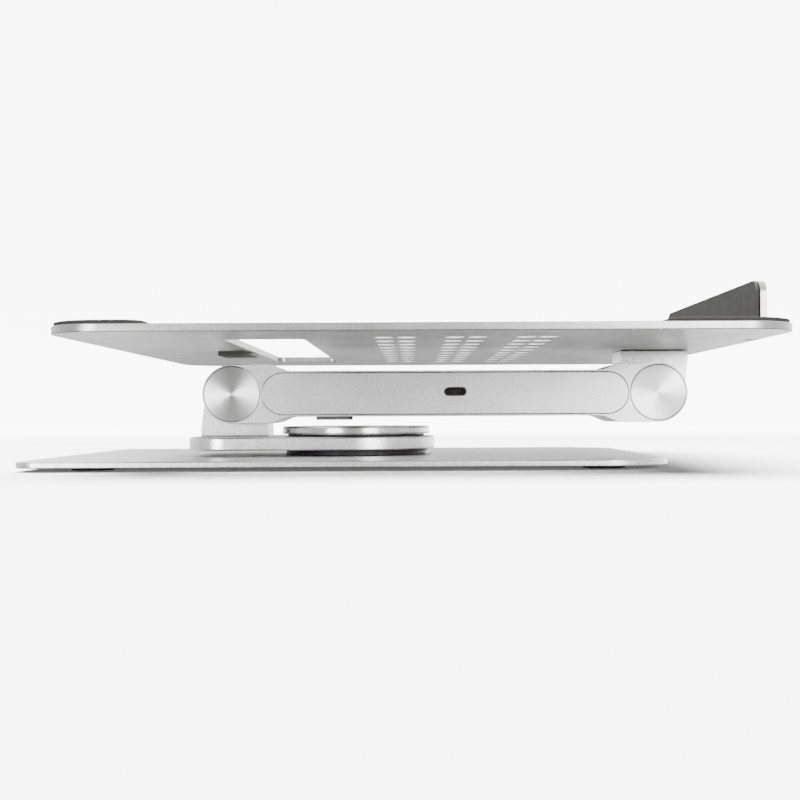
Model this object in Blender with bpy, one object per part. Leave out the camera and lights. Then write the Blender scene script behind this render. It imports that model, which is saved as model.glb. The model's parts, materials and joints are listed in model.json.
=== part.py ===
"""Folding laptop cooling stand: a vented tray on one folding arm, on a swivelling base.

Run with: blender --background --python part.py

Frame: the origin is on the swivel axis, at the bottom of the rubber pads that the stand rests on.
+X points to the tray's front lip, +Z points up, and Y = 0 is the middle plane of the arm.
All pieces are modelled in world coordinates and then hung on the empty of the joint they turn about.
"""

import math

import bmesh
import bpy
from mathutils import Matrix, Vector

MM = 0.001
GAP = 0.3 * MM            # between pieces that touch
RUNNING_GAP = 0.12 * MM   # between a shaft and its bore

# Base plate and its feet
BASE_HALF_X = 120.0 * MM
BASE_HALF_Y = 84.5 * MM
BASE_REAR_RADIUS = 10.0 * MM
BASE_FRONT_RADIUS = 27.0 * MM
BASE_BOTTOM = 1.5 * MM
BASE_THICKNESS = 2.2 * MM
BASE_TOP = BASE_BOTTOM + BASE_THICKNESS
BASE_CHAMFER = 0.35 * MM
FOOT_RADIUS = 8.0 * MM
FOOT_INSET = 24.0 * MM
FOOT_RECESS = 0.7 * MM
FOOT_CHAMFER = 0.4 * MM
CENTRE_PAD_RADIUS = 24.0 * MM
RING_MARK_CENTRE = (80.0 * MM, 0.0)   # the ring engraved in the base's top
RING_MARK_RADIUS = 28.0 * MM
RING_MARK_WIDTH = 0.5 * MM
RING_MARK_DEPTH = 0.25 * MM

# Swivel
SLIDE_GAP = 0.2 * MM      # above and below each bearing ring
HUB_RADIUS = 12.0 * MM
HUB_CLEARANCE = 0.15 * MM
SPIGOT_RADIUS = 5.5 * MM
RING_INNER_RADIUS = 20.0 * MM
LOWER_RING_RADIUS = 29.7 * MM
LOWER_RING_FLANGE = (30.6 * MM, 0.6 * MM)   # radius and thickness of the flange on top of it
UPPER_RING_RADIUS = 29.1 * MM
SWIVEL_BOTTOM = 6.0 * MM
SWIVEL_THICKNESS = 5.3 * MM
SWIVEL_CHAMFER = 0.7 * MM
SWIVEL_TOP = SWIVEL_BOTTOM + SWIVEL_THICKNESS
SWIVEL_HALF_Y = 33.5 * MM
SWIVEL_REAR_X = -68.0 * MM
SWIVEL_REAR_RADIUS = 17.0 * MM
CAP_DISC_RADIUS = 31.4 * MM
CAP_DISC_BOTTOM = 12.2 * MM
CAP_DISC_TOP = 15.5 * MM
CAP_DISC_CHAMFER = 0.7 * MM
HUB_SCREW_CIRCLE = 8.9 * MM
HUB_SCREWS = 3
HUB_SCREW_LENGTH = 8.0 * MM

# Hinges: both axes run along Y
AXIS_Z = 29.0 * MM
LOWER_AXIS_X = -50.5 * MM
UPPER_AXIS_X = 125.7 * MM
BRACKET_HALF_Y = 10.75 * MM
BRACKET_TOP_RADIUS = 12.2 * MM
BRACKET_HALF_X = 14.0 * MM
BRACKET_FOOT_HEIGHT = 3.0 * MM
BRACKET_CHAMFER = 0.3 * MM
PIN_RADIUS = 4.0 * MM
FRICTION_WASHER_RADIUS = 9.0 * MM
FRICTION_WASHER = (10.95 * MM, 11.6 * MM)   # inner and outer face, along Y
SPRING_RADIUS = 7.2 * MM
SPRING = (13.9 * MM, 14.8 * MM)
NUT_RADIUS = 6.6 * MM
NUT = (15.0 * MM, 16.1 * MM)
HINGE_CAP_RADIUS = 11.4 * MM
HINGE_CAP = (16.7 * MM, 18.1 * MM)
HINGE_CAP_CHAMFER = 0.25 * MM
BRACKET_SCREW_X = 8.5 * MM
BRACKET_SCREW_Y = 6.0 * MM
THREAD_DEPTH = 6.0 * MM
SCREW_REACH = 5.0 * MM    # how far a bracket's screws reach past the plate they hold

# Arm
ARM_HALF_Y = 18.0 * MM
ARM_END_RADIUS = 12.2 * MM
ARM_HALF_HEIGHT = 9.5 * MM
ARM_CHAMFER = 0.4 * MM
ARM_NECK = (15.0 * MM, 24.5 * MM)   # where the end narrows to the body, from the hinge axis
CHEEK_INNER = 11.8 * MM
SLOT_LENGTH = 15.6 * MM
SLOT_CORNER = 0.5 * MM
SLOT_PAST = 20.0 * MM     # from the hinge axis, well outside the arm's round end
CAP_POCKET_FLOOR = 16.4 * MM
NUT_POCKET_FLOOR = 13.7 * MM
NUT_POCKET_CLEARANCE = 0.5 * MM
COVER_X = (-38.0 * MM, 113.4 * MM)
COVER_HALF_HEIGHT = 8.5 * MM
COVER_THICKNESS = 1.3 * MM
COVER_CHAMFER = 0.15 * MM
CAVITY_X = (-30.0 * MM, 105.0 * MM)
CAVITY_HALF_HEIGHT = 6.3 * MM
CAVITY_CORNER = 2.0 * MM
CAVITY_PAST = 0.5 * MM    # into the cover's pocket, so that the cuts meet

# Port and its board
PORT_X = 41.9 * MM
PORT_Z = 29.7 * MM
PORT_HALF = (4.45 * MM, 1.5 * MM)
PORT_WALL = 0.3 * MM
PORT_DEPTH = 7.3 * MM
PORT_SETBACK = 0.1 * MM
TONGUE_HALF = (3.3 * MM, 0.35 * MM)
TONGUE_CORNER = 0.2 * MM
TONGUE_SETBACK = 1.5 * MM
TONGUE_BACK = 1.3 * MM
BOARD_X = (22.0 * MM, 92.0 * MM)
BOARD_Y = (-15.5 * MM, 13.0 * MM)
BOARD_Z = (26.6 * MM, 27.8 * MM)
BOARD_CORNER = 1.5 * MM
STANDOFF_X = (30.0 * MM, 84.0 * MM)
STANDOFF_RADIUS = 2.4 * MM
CHIP_X = (56.0 * MM, 66.0 * MM)
CHIP_HALF_Y = 5.0 * MM
CHIP_THICKNESS = 1.0 * MM
CHIP_CORNER = 0.3 * MM
CHIP_CHAMFER = 0.1 * MM

# Tray
TRAY_X = (-95.5 * MM, 150.0 * MM)
TRAY_HALF_Y = 130.0 * MM
TRAY_RADIUS = 20.0 * MM
TRAY_BOTTOM = 46.9 * MM
TRAY_THICKNESS = 2.6 * MM
TRAY_TOP = TRAY_BOTTOM + TRAY_THICKNESS
WINDOW_X = (-42.7 * MM, -14.0 * MM)
WINDOW_HALF_Y = 88.0 * MM
WINDOW_RADIUS = 3.0 * MM
VENT_GROUPS_X = (18.2 * MM, 43.1 * MM, 68.0 * MM)
VENT_OFFSET_X = 3.95 * MM
VENT_WIDTH = 6.4 * MM
VENT_LENGTH = 14.5 * MM
VENT_ROWS = 10
VENT_PITCH = 20.5 * MM

# Front lip, bent up from the tray
LIP_HALF_Y = 73.0 * MM
LIP_BEND_RADIUS = 1.4 * MM
LIP_TOP = 69.0 * MM
LIP_CORNER_RADIUS = 5.0 * MM
RELIEF_WIDTH = 4.5 * MM
RELIEF_DEPTH = 5.0 * MM

# Rubber on the tray and under the arm
RUBBER_CHAMFER = 0.2 * MM
PAD_THICKNESS = 1.0 * MM
PAD_INSET = 0.8 * MM
PAD_CORNER = 6.0 * MM
FRONT_PAD_REAR_X = 106.5 * MM
REAR_PAD_FRONT_X = -62.4 * MM
FACING_THICKNESS = 1.3 * MM
FACING_TOP = 69.1 * MM
FACING_INSET = 0.4 * MM
FACING_LIFT = 0.2 * MM    # above the bend's inner curve
FACING_CORNER = 0.3 * MM
BUMPER_CORNER = 2.0 * MM
ARM_BUMPER_X = (-16.6 * MM, -1.7 * MM)
ARM_BUMPER_HALF_Y = 8.0 * MM
ARM_BUMPER_HEIGHT = 1.1 * MM
TRAY_BUMPER_X = (-57.6 * MM, -43.0 * MM)
TRAY_BUMPER_HEIGHT = 1.2 * MM

# Fasteners
SCREW_RADIUS = 1.5 * MM
SCREW_HEAD_RADIUS = 2.9 * MM
SCREW_HEAD_HEIGHT = 1.5 * MM
BOARD_SCREW_RADIUS = 0.9 * MM
BOARD_SCREW_HEAD_RADIUS = 1.8 * MM
BOARD_SCREW_HEAD_HEIGHT = 1.1 * MM

# colour, roughness, metallic
FINISHES = {
    "anodised_aluminium": ((0.74, 0.74, 0.73), 0.42, 1.0),
    "spun_aluminium": ((0.80, 0.80, 0.79), 0.25, 1.0),
    "steel": ((0.55, 0.55, 0.56), 0.35, 1.0),
    "grey_silicone": ((0.10, 0.10, 0.095), 0.75, 0.0),
    "black_plastic": ((0.012, 0.012, 0.012), 0.45, 0.0),
    "circuit_board": ((0.02, 0.10, 0.05), 0.45, 0.0),
    "friction_fibre": ((0.22, 0.17, 0.11), 0.8, 0.0),
}


# ---------------------------------------------------------------- outlines

def arc(centre, radius, start, end, steps):
    """Points along a circular arc, with angles in degrees."""
    points = []
    for i in range(steps + 1):
        angle = math.radians(start + (end - start) * i / steps)
        points.append((centre[0] + radius * math.cos(angle), centre[1] + radius * math.sin(angle)))
    return points


def circle(centre, radius, steps):
    return arc(centre, radius, 0.0, 360.0, steps)[:-1]


def rounded_box(low, high, radii, steps):
    """Rounded rectangle. Radii: low-low, high-low, high-high and low-high corners."""
    corners = (
        ((low[0] + radii[0], low[1] + radii[0]), radii[0], 180.0),
        ((high[0] - radii[1], low[1] + radii[1]), radii[1], 270.0),
        ((high[0] - radii[2], high[1] - radii[2]), radii[2], 0.0),
        ((low[0] + radii[3], high[1] - radii[3]), radii[3], 90.0),
    )
    points = []
    for centre, radius, start in corners:
        points += arc(centre, radius, start, start + 90.0, steps)
    return points


def obround(centre, half_u, half_v, steps):
    """A slot shape: two half circles, joined by straight sides along the longer direction."""
    radius = min(half_u, half_v)
    reach_u, reach_v = half_u - radius, half_v - radius
    start = -90.0 if reach_u > 0.0 else 0.0
    high = (centre[0] + reach_u, centre[1] + reach_v)
    low = (centre[0] - reach_u, centre[1] - reach_v)
    points = arc(high, radius, start, start + 180.0, 2 * steps)
    return points + arc(low, radius, start + 180.0, start + 360.0, 2 * steps)


def inset(points, distance):
    """The same outline, moved inwards by a small distance. The points run anticlockwise."""
    moved = []
    for i, point in enumerate(points):
        here = Vector(point)
        before = (here - Vector(points[i - 1])).normalized()
        after = (Vector(points[(i + 1) % len(points)]) - here).normalized()
        direction = (before + after).normalized()
        inward = Vector((-direction.y, direction.x))
        reach = distance / max(0.3, direction.dot(after))
        moved.append(tuple(here + inward * reach))
    return moved


# ---------------------------------------------------------------- solids

def to_space(point, height, axis):
    """Places an outline's point in space, at a height along the axis that it is extruded along."""
    u, v = point
    if axis == "X":
        return (height, u, v)
    if axis == "Y":
        return (u, height, v)
    return (u, v, height)


def finish_mesh(name, bm, finish):
    """Turns a bmesh into an object with its own material."""
    mesh = bpy.data.meshes.new(name)
    bm.to_mesh(mesh)
    bm.free()
    mesh.shade_smooth()
    mesh.set_sharp_from_angle(angle=math.radians(30.0))
    obj = bpy.data.objects.new(name, mesh)
    bpy.context.scene.collection.objects.link(obj)
    if finish:
        mesh.materials.append(new_material(name, finish))
    return obj


def new_material(name, finish):
    colour, roughness, metallic = FINISHES[finish]
    material = bpy.data.materials.new(name + "_" + finish)
    material.use_nodes = True
    shader = material.node_tree.nodes["Principled BSDF"]
    shader.inputs["Base Color"].default_value = (*colour, 1.0)
    shader.inputs["Roughness"].default_value = roughness
    shader.inputs["Metallic"].default_value = metallic
    return material


def add_ring(bm, outline, height, axis):
    return [bm.verts.new(to_space(point, height, axis)) for point in outline]


def add_band(bm, ring, following, flip):
    """A band of faces between two rings. They face outwards when the second is the higher."""
    if flip:
        ring, following = following, ring
    for i in range(len(ring)):
        bm.faces.new((ring[i - 1], ring[i], following[i], following[i - 1]))


def add_layers(bm, layers, axis):
    """Adds one closed solid through anticlockwise outlines of equal length, each at its own height."""
    rings = [add_ring(bm, outline, height, axis) for outline, height in layers]
    falling = layers[0][1] > layers[-1][1]
    flip = falling != (axis == "Y")
    for ring, following in zip(rings, rings[1:]):
        add_band(bm, ring, following, flip)
    first, last = rings[0], rings[-1]
    if flip:
        first, last = last, first
    bm.faces.new(first[::-1])
    bm.faces.new(last)


def layered(name, layers, axis, finish):
    bm = bmesh.new()
    add_layers(bm, layers, axis)
    return finish_mesh(name, bm, finish)


def slab(name, outline, low, high, axis, finish, chamfer=0.0):
    """An extruded outline, with a chamfer along both of its rims."""
    if chamfer == 0.0:
        return layered(name, [(outline, low), (outline, high)], axis, finish)
    small = inset(outline, chamfer)
    layers = [(small, low), (outline, low + chamfer), (outline, high - chamfer), (small, high)]
    return layered(name, layers, axis, finish)


def turned(name, centre, profile, axis, finish, steps=48):
    """A solid of revolution. Profile: (radius, height along the axis) from one end to the other."""
    layers = [(circle(centre, radius, steps), height) for radius, height in profile]
    return layered(name, layers, axis, finish)


def turned_ring(name, centre, profile, axis, finish, steps=32):
    """A ring with an open middle. Profile: (radius, height) around its section, outer side upwards."""
    bm = bmesh.new()
    rings = [add_ring(bm, circle(centre, radius, steps), height, axis) for radius, height in profile]
    for ring, following in zip(rings, rings[1:] + rings[:1]):
        add_band(bm, ring, following, axis == "Y")
    return finish_mesh(name, bm, finish)


def washer(name, centre, radii, heights, axis, finish, steps=32):
    """A flat ring with square edges."""
    inner, outer = radii
    low, high = heights
    profile = ((inner, low), (outer, low), (outer, high), (inner, high))
    return turned_ring(name, centre, profile, axis, finish, steps)


def cutter(name, prisms, axis):
    """One hidden mesh of separate prisms, for a Boolean. Prisms: lists of (outline, height)."""
    bm = bmesh.new()
    for layers in prisms:
        add_layers(bm, layers, axis)
    return hide_tool(finish_mesh(name, bm, None))


def hide_tool(obj):
    """Marks an object as a cutter, which isn't part of the stand."""
    obj.hide_render = True
    obj.display_type = "WIRE"
    return obj


def cut(obj, tool):
    modifier = obj.modifiers.new("cut_" + tool.name, "BOOLEAN")
    modifier.operation = "DIFFERENCE"
    modifier.solver = "EXACT"
    modifier.object = tool


def axis_empty(name, location, parent):
    empty = bpy.data.objects.new(name, None)
    empty.empty_display_size = 0.02
    empty.location = location
    bpy.context.scene.collection.objects.link(empty)
    if parent:
        empty.parent = parent
        empty.location = Vector(location) - parent.matrix_world.translation
    bpy.context.view_layer.update()
    return empty


def hang(objects, empty):
    """Hangs pieces on their joint's empty, with their origins on the joint's axis."""
    origin = empty.matrix_world.translation
    for obj in objects:
        obj.data.transform(Matrix.Translation(-origin))
        obj.parent = empty


# ---------------------------------------------------------------- fasteners

def countersunk_profile(head_face, direction, length, clearance=0.0):
    """Turned profile of a countersunk screw, or of its hole. The head's face is at head_face."""
    head = SCREW_HEAD_RADIUS + clearance
    shank = SCREW_RADIUS + clearance
    neck = head_face + direction * SCREW_HEAD_HEIGHT
    profile = [(head, head_face), (shank, neck), (shank, head_face + direction * length)]
    return profile if direction > 0 else profile[::-1]


def screw(name, centre, head_face, direction, length):
    profile = countersunk_profile(head_face, direction, length)
    return turned(name, centre, profile, "Z", "steel", steps=12)


def screw_hole(centre, head_face, direction, length):
    """Layers that cut a screw's hole, reaching past the head's face."""
    profile = countersunk_profile(head_face, direction, length, RUNNING_GAP)
    layers = [(circle(centre, radius, 12), height) for radius, height in profile]
    mouth = (circle(centre, SCREW_HEAD_RADIUS + RUNNING_GAP, 12), head_face - direction * GAP)
    return [mouth] + layers if direction > 0 else layers + [mouth]


def bracket_screw_centres(axis_x):
    centres = []
    for side_x in (-1, 1):
        for side_y in (-1, 1):
            centres.append((axis_x + side_x * BRACKET_SCREW_X, side_y * BRACKET_SCREW_Y))
    return centres


# ---------------------------------------------------------------- base

def foot_centres():
    x = BASE_HALF_X - FOOT_INSET
    y = BASE_HALF_Y - FOOT_INSET
    return {
        "foot_rear_near": (-x, -y),
        "foot_rear_far": (-x, y),
        "foot_front_near": (x, -y),
        "foot_front_far": (x, y),
    }


def hub_screw_centres():
    centres = []
    for i in range(HUB_SCREWS):
        angle = math.radians(90.0 + 360.0 * i / HUB_SCREWS)
        centres.append((HUB_SCREW_CIRCLE * math.cos(angle), HUB_SCREW_CIRCLE * math.sin(angle)))
    return centres


def make_base_plate():
    front, rear = BASE_FRONT_RADIUS, BASE_REAR_RADIUS
    outline = rounded_box(
        (-BASE_HALF_X, -BASE_HALF_Y), (BASE_HALF_X, BASE_HALF_Y), (rear, front, front, rear), 7
    )
    heights = (BASE_BOTTOM, BASE_TOP)
    plate = slab("base_plate", outline, *heights, "Z", "anodised_aluminium", BASE_CHAMFER)
    recesses = []
    for centre in foot_centres().values():
        recess = circle(centre, FOOT_RADIUS + GAP, 16)
        recesses.append([(recess, BASE_BOTTOM - GAP), (recess, BASE_BOTTOM + FOOT_RECESS)])
    for centre in hub_screw_centres():
        recesses.append(screw_hole(centre, BASE_BOTTOM, 1, 2 * BASE_THICKNESS))
    cut(plate, cutter("base_plate_cuts", recesses, "Z"))
    inner = RING_MARK_RADIUS - RING_MARK_WIDTH
    floor, past = BASE_TOP - RING_MARK_DEPTH, BASE_TOP + MM
    profile = ((inner, floor), (RING_MARK_RADIUS, floor), (RING_MARK_RADIUS, past), (inner, past))
    mark = hide_tool(turned_ring("base_plate_ring_mark", RING_MARK_CENTRE, profile, "Z", None, 72))
    cut(plate, mark)


def make_base_rubber():
    for name, centre in foot_centres().items():
        top = BASE_BOTTOM + FOOT_RECESS - GAP
        profile = [(FOOT_RADIUS - FOOT_CHAMFER, 0.0), (FOOT_RADIUS, FOOT_CHAMFER), (FOOT_RADIUS, top)]
        turned(name, centre, profile, "Z", "grey_silicone", steps=16)
    profile = [(CENTRE_PAD_RADIUS, 0.0), (CENTRE_PAD_RADIUS, BASE_BOTTOM - GAP)]
    turned("centre_pad", (0.0, 0.0), profile, "Z", "grey_silicone", steps=32)


def make_swivel_core():
    """The hub on the base, the two rings that the swivel plate slides between, and the cap disc."""
    centre = (0.0, 0.0)
    hub_top = CAP_DISC_BOTTOM - GAP
    hub_profile = [(HUB_RADIUS, BASE_TOP + GAP), (HUB_RADIUS, hub_top)]
    hub = turned("hub_post", centre, hub_profile, "Z", "steel", steps=32)
    bore = circle(centre, SPIGOT_RADIUS + RUNNING_GAP, 24)
    cuts = [[(bore, SWIVEL_BOTTOM), (bore, hub_top + GAP)]]
    for screw_centre in hub_screw_centres():
        hole = circle(screw_centre, SCREW_RADIUS + RUNNING_GAP, 12)
        cuts.append([(hole, BASE_TOP), (hole, SWIVEL_TOP - MM)])
    cut(hub, cutter("hub_post_cuts", cuts, "Z"))
    for i, screw_centre in enumerate(hub_screw_centres()):
        screw("hub_screw_%d" % (i + 1), screw_centre, BASE_BOTTOM, 1, HUB_SCREW_LENGTH)

    low, high = BASE_TOP + SLIDE_GAP, SWIVEL_BOTTOM - SLIDE_GAP
    flange_radius, flange_thickness = LOWER_RING_FLANGE
    step = high - flange_thickness
    profile = [
        (RING_INNER_RADIUS, low),
        (LOWER_RING_RADIUS, low),
        (LOWER_RING_RADIUS, step),
        (flange_radius, step),
        (flange_radius, high),
        (RING_INNER_RADIUS, high),
    ]
    turned_ring("lower_bearing_ring", centre, profile, "Z", "black_plastic", 40)
    upper = (SWIVEL_TOP + SLIDE_GAP, CAP_DISC_BOTTOM - SLIDE_GAP)
    upper_radii = (RING_INNER_RADIUS, UPPER_RING_RADIUS)
    washer("upper_bearing_ring", centre, upper_radii, upper, "Z", "black_plastic")

    rim = CAP_DISC_CHAMFER
    profile = [
        (SPIGOT_RADIUS, SWIVEL_BOTTOM + MM),
        (SPIGOT_RADIUS, CAP_DISC_BOTTOM),
        (CAP_DISC_RADIUS - rim, CAP_DISC_BOTTOM),
        (CAP_DISC_RADIUS, CAP_DISC_BOTTOM + rim),
        (CAP_DISC_RADIUS, CAP_DISC_TOP - rim),
        (CAP_DISC_RADIUS - rim, CAP_DISC_TOP),
    ]
    turned("cap_disc", centre, profile, "Z", "spun_aluminium", steps=48)


# ---------------------------------------------------------------- turntable

def make_swivel_plate():
    """A paddle: round about the swivel axis, and square with round corners under the hinge."""
    r = SWIVEL_REAR_RADIUS
    rear_low = (SWIVEL_REAR_X + r, -SWIVEL_HALF_Y + r)
    rear_high = (SWIVEL_REAR_X + r, SWIVEL_HALF_Y - r)
    outline = arc((0.0, 0.0), SWIVEL_HALF_Y, -90.0, 90.0, 18)
    outline += arc(rear_high, r, 90.0, 180.0, 6) + arc(rear_low, r, 180.0, 270.0, 6)
    heights = (SWIVEL_BOTTOM, SWIVEL_TOP)
    plate = slab("swivel_plate", outline, *heights, "Z", "anodised_aluminium", SWIVEL_CHAMFER)
    bore = circle((0.0, 0.0), HUB_RADIUS + HUB_CLEARANCE, 32)
    cuts = [[(bore, SWIVEL_BOTTOM - MM), (bore, SWIVEL_TOP + MM)]]
    for centre in bracket_screw_centres(LOWER_AXIS_X):
        cuts.append(screw_hole(centre, SWIVEL_BOTTOM, 1, 2 * SWIVEL_THICKNESS))
    tool = cutter("swivel_plate_cuts", cuts, "Z")
    cut(plate, tool)
    return [plate, tool]


def bracket_outline(axis_x, foot_z):
    """Side view of a hinge bracket: round about the hinge axis, with sides that flare to its foot."""
    side = 1.0 if foot_z < AXIS_Z else -1.0
    drop = abs(AXIS_Z - foot_z)
    corner = Vector((BRACKET_HALF_X, -(drop - BRACKET_FOOT_HEIGHT)))
    tangent = math.degrees(math.atan2(corner.y, corner.x) + math.acos(BRACKET_TOP_RADIUS / corner.length))
    points = [(-BRACKET_HALF_X, -drop), (BRACKET_HALF_X, -drop), tuple(corner)]
    points += arc((0.0, 0.0), BRACKET_TOP_RADIUS, tangent, 180.0 - tangent, 14)
    points += [(-corner.x, corner.y)]
    placed = [(axis_x + u, AXIS_Z + side * v) for u, v in points]
    return placed if side > 0 else placed[::-1]


def make_bracket(name, axis_x, foot_z):
    outline = bracket_outline(axis_x, foot_z)
    y_ends = (-BRACKET_HALF_Y, BRACKET_HALF_Y)
    bracket = slab(name, outline, *y_ends, "Y", "anodised_aluminium", BRACKET_CHAMFER)
    bore = circle((axis_x, AXIS_Z), PIN_RADIUS + RUNNING_GAP, 24)
    reach = BRACKET_HALF_Y + MM
    tool = cutter(name + "_bore", [[(bore, -reach), (bore, reach)]], "Y")
    cut(bracket, tool)
    inward = 1 if foot_z < AXIS_Z else -1
    holes = []
    for centre in bracket_screw_centres(axis_x):
        hole = circle(centre, SCREW_RADIUS + RUNNING_GAP, 12)
        ends = sorted((foot_z - inward * MM, foot_z + inward * THREAD_DEPTH))
        holes.append([(hole, ends[0]), (hole, ends[1])])
    threads = cutter(name + "_threads", holes, "Z")
    cut(bracket, threads)
    return [bracket, tool, threads]


def make_hinge_core(prefix, axis_x):
    """The pin through a bracket, and the spring washer and nut at each end of it."""
    centre = (axis_x, AXIS_Z)
    reach = NUT[1]
    pieces = [
        turned(prefix + "_pin", centre, [(PIN_RADIUS, -reach), (PIN_RADIUS, reach)], "Y", "steel", 24)
    ]
    for side, word in ((-1, "near"), (1, "far")):
        bore = PIN_RADIUS + RUNNING_GAP
        spring = tuple(sorted(side * face for face in SPRING))
        nut = tuple(sorted(side * face for face in NUT))
        name = prefix + "_spring_" + word
        pieces.append(washer(name, centre, (bore, SPRING_RADIUS), spring, "Y", "steel", 20))
        name = prefix + "_nut_" + word
        pieces.append(washer(name, centre, (bore, NUT_RADIUS), nut, "Y", "steel", 20))
    return pieces


def make_turntable():
    foot_z = SWIVEL_TOP + GAP
    pieces = make_swivel_plate()
    pieces += make_bracket("lower_bracket", LOWER_AXIS_X, foot_z)
    for i, centre in enumerate(bracket_screw_centres(LOWER_AXIS_X)):
        length = SWIVEL_THICKNESS + SCREW_REACH
        pieces.append(screw("lower_bracket_screw_%d" % (i + 1), centre, SWIVEL_BOTTOM, 1, length))
    pieces += make_hinge_core("lower", LOWER_AXIS_X)
    return pieces


# ---------------------------------------------------------------- arm

def neck_points(axis_x, direction, side):
    """The curve between a round end and the body, from the end towards the body."""
    points = []
    steps = 6
    start, end = ARM_NECK
    for i in range(steps + 1):
        share = i / steps
        fall = (1.0 - math.cos(math.pi * share)) / 2.0
        height = ARM_END_RADIUS + (ARM_HALF_HEIGHT - ARM_END_RADIUS) * fall
        x = axis_x + direction * (start + (end - start) * share)
        points.append((x, AXIS_Z + side * height))
    return points


def arm_outline():
    """Side view of the arm: a round end about each hinge axis, with a slimmer body between them."""
    lower, upper = (LOWER_AXIS_X, AXIS_Z), (UPPER_AXIS_X, AXIS_Z)
    points = neck_points(LOWER_AXIS_X, 1, -1) + neck_points(UPPER_AXIS_X, -1, -1)[::-1]
    points += arc(upper, ARM_END_RADIUS, -90.0, 90.0, 14)
    points += neck_points(UPPER_AXIS_X, -1, 1) + neck_points(LOWER_AXIS_X, 1, 1)[::-1]
    points += arc(lower, ARM_END_RADIUS, 90.0, 270.0, 14)
    return points


def cover_outline(grow=0.0):
    low, high = COVER_X
    middle = ((low + high) / 2.0, AXIS_Z)
    return obround(middle, (high - low) / 2.0 + grow, COVER_HALF_HEIGHT + grow, 6)


def arm_cuts():
    """Everything cut out of the arm along Y."""
    prisms = []
    cover_pocket = cover_outline(GAP)
    cavity_low, cavity_high = CAVITY_X
    low = (cavity_low, AXIS_Z - CAVITY_HALF_HEIGHT)
    high = (cavity_high, AXIS_Z + CAVITY_HALF_HEIGHT)
    cavity = rounded_box(low, high, (CAVITY_CORNER,) * 4, 2)
    pocket_floor = ARM_HALF_Y - COVER_THICKNESS - GAP
    past = ARM_HALF_Y + MM
    for side in (-1, 1):
        ends = sorted((side * pocket_floor, side * past))
        prisms.append([(cover_pocket, ends[0]), (cover_pocket, ends[1])])
    cavity_reach = pocket_floor + CAVITY_PAST
    prisms.append([(cavity, -cavity_reach), (cavity, cavity_reach)])
    return prisms


def hinge_cuts(axis_x):
    """The bore, the pockets for nut and cap, and the slot for the bracket, at one end of the arm."""
    centre = (axis_x, AXIS_Z)
    inner = CHEEK_INNER
    past = ARM_HALF_Y + MM
    bore = circle(centre, PIN_RADIUS + RUNNING_GAP, 24)
    nut_pocket = circle(centre, SPRING_RADIUS + NUT_POCKET_CLEARANCE, 20)
    cap_pocket = circle(centre, HINGE_CAP_RADIUS + GAP, 32)
    bores = [[(bore, -past), (bore, past)]]
    nut_pockets = []
    cap_pockets = []
    for side in (-1, 1):
        ends = sorted((side * NUT_POCKET_FLOOR, side * past))
        nut_pockets.append([(nut_pocket, ends[0]), (nut_pocket, ends[1])])
        ends = sorted((side * CAP_POCKET_FLOOR, side * past))
        cap_pockets.append([(cap_pocket, ends[0]), (cap_pocket, ends[1])])
    inboard = 1 if axis_x < 0 else -1
    x_ends = sorted((axis_x - inboard * SLOT_PAST, axis_x + inboard * SLOT_LENGTH))
    z_ends = (AXIS_Z - SLOT_PAST, AXIS_Z + SLOT_PAST)
    slot = rounded_box((x_ends[0], z_ends[0]), (x_ends[1], z_ends[1]), (SLOT_CORNER,) * 4, 1)
    slots = [[(slot, -inner), (slot, inner)]]
    return bores, nut_pockets, cap_pockets, slots


def make_arm_frame():
    outline = arm_outline()
    y_ends = (-ARM_HALF_Y, ARM_HALF_Y)
    frame = slab("arm_frame", outline, *y_ends, "Y", "anodised_aluminium", ARM_CHAMFER)
    tools = []
    for i, prism in enumerate(arm_cuts()):
        tools.append(cutter("arm_frame_cut_%d" % i, [prism], "Y"))
    for word, axis_x in (("lower", LOWER_AXIS_X), ("upper", UPPER_AXIS_X)):
        for kind, prisms in zip(("bore", "nut", "cap", "slot"), hinge_cuts(axis_x)):
            tools.append(cutter("arm_frame_%s_%s" % (word, kind), prisms, "Y"))
    for tool in tools:
        cut(frame, tool)
    return [frame] + tools


def make_covers():
    outer = ARM_HALF_Y
    inner = ARM_HALF_Y - COVER_THICKNESS
    finish = "anodised_aluminium"
    far = slab("far_cover", cover_outline(), inner, outer, "Y", finish, COVER_CHAMFER)
    near = slab("near_cover", cover_outline(), -outer, -inner, "Y", finish, COVER_CHAMFER)
    half_u, half_v = PORT_HALF
    mouth = obround((PORT_X, PORT_Z), half_u + GAP, half_v + GAP, 6)
    tool = cutter("near_cover_port", [[(mouth, -outer - MM), (mouth, -inner + MM)]], "Y")
    cut(near, tool)
    return [far, near, tool]


def make_hinge_caps():
    pieces = []
    for word, axis_x in (("lower", LOWER_AXIS_X), ("upper", UPPER_AXIS_X)):
        centre = (axis_x, AXIS_Z)
        for side, side_word in ((-1, "near"), (1, "far")):
            inner, outer = HINGE_CAP
            rim = HINGE_CAP_CHAMFER
            profile = [
                (HINGE_CAP_RADIUS, side * inner),
                (HINGE_CAP_RADIUS, side * (outer - rim)),
                (HINGE_CAP_RADIUS - rim, side * outer),
            ]
            name = "%s_cap_%s" % (word, side_word)
            pieces.append(turned(name, centre, profile, "Y", "spun_aluminium", 32))
            faces = tuple(sorted(side * face for face in FRICTION_WASHER))
            radii = (PIN_RADIUS + RUNNING_GAP, FRICTION_WASHER_RADIUS)
            name = "%s_friction_washer_%s" % (word, side_word)
            pieces.append(washer(name, centre, radii, faces, "Y", "friction_fibre", 20))
    return pieces


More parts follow.
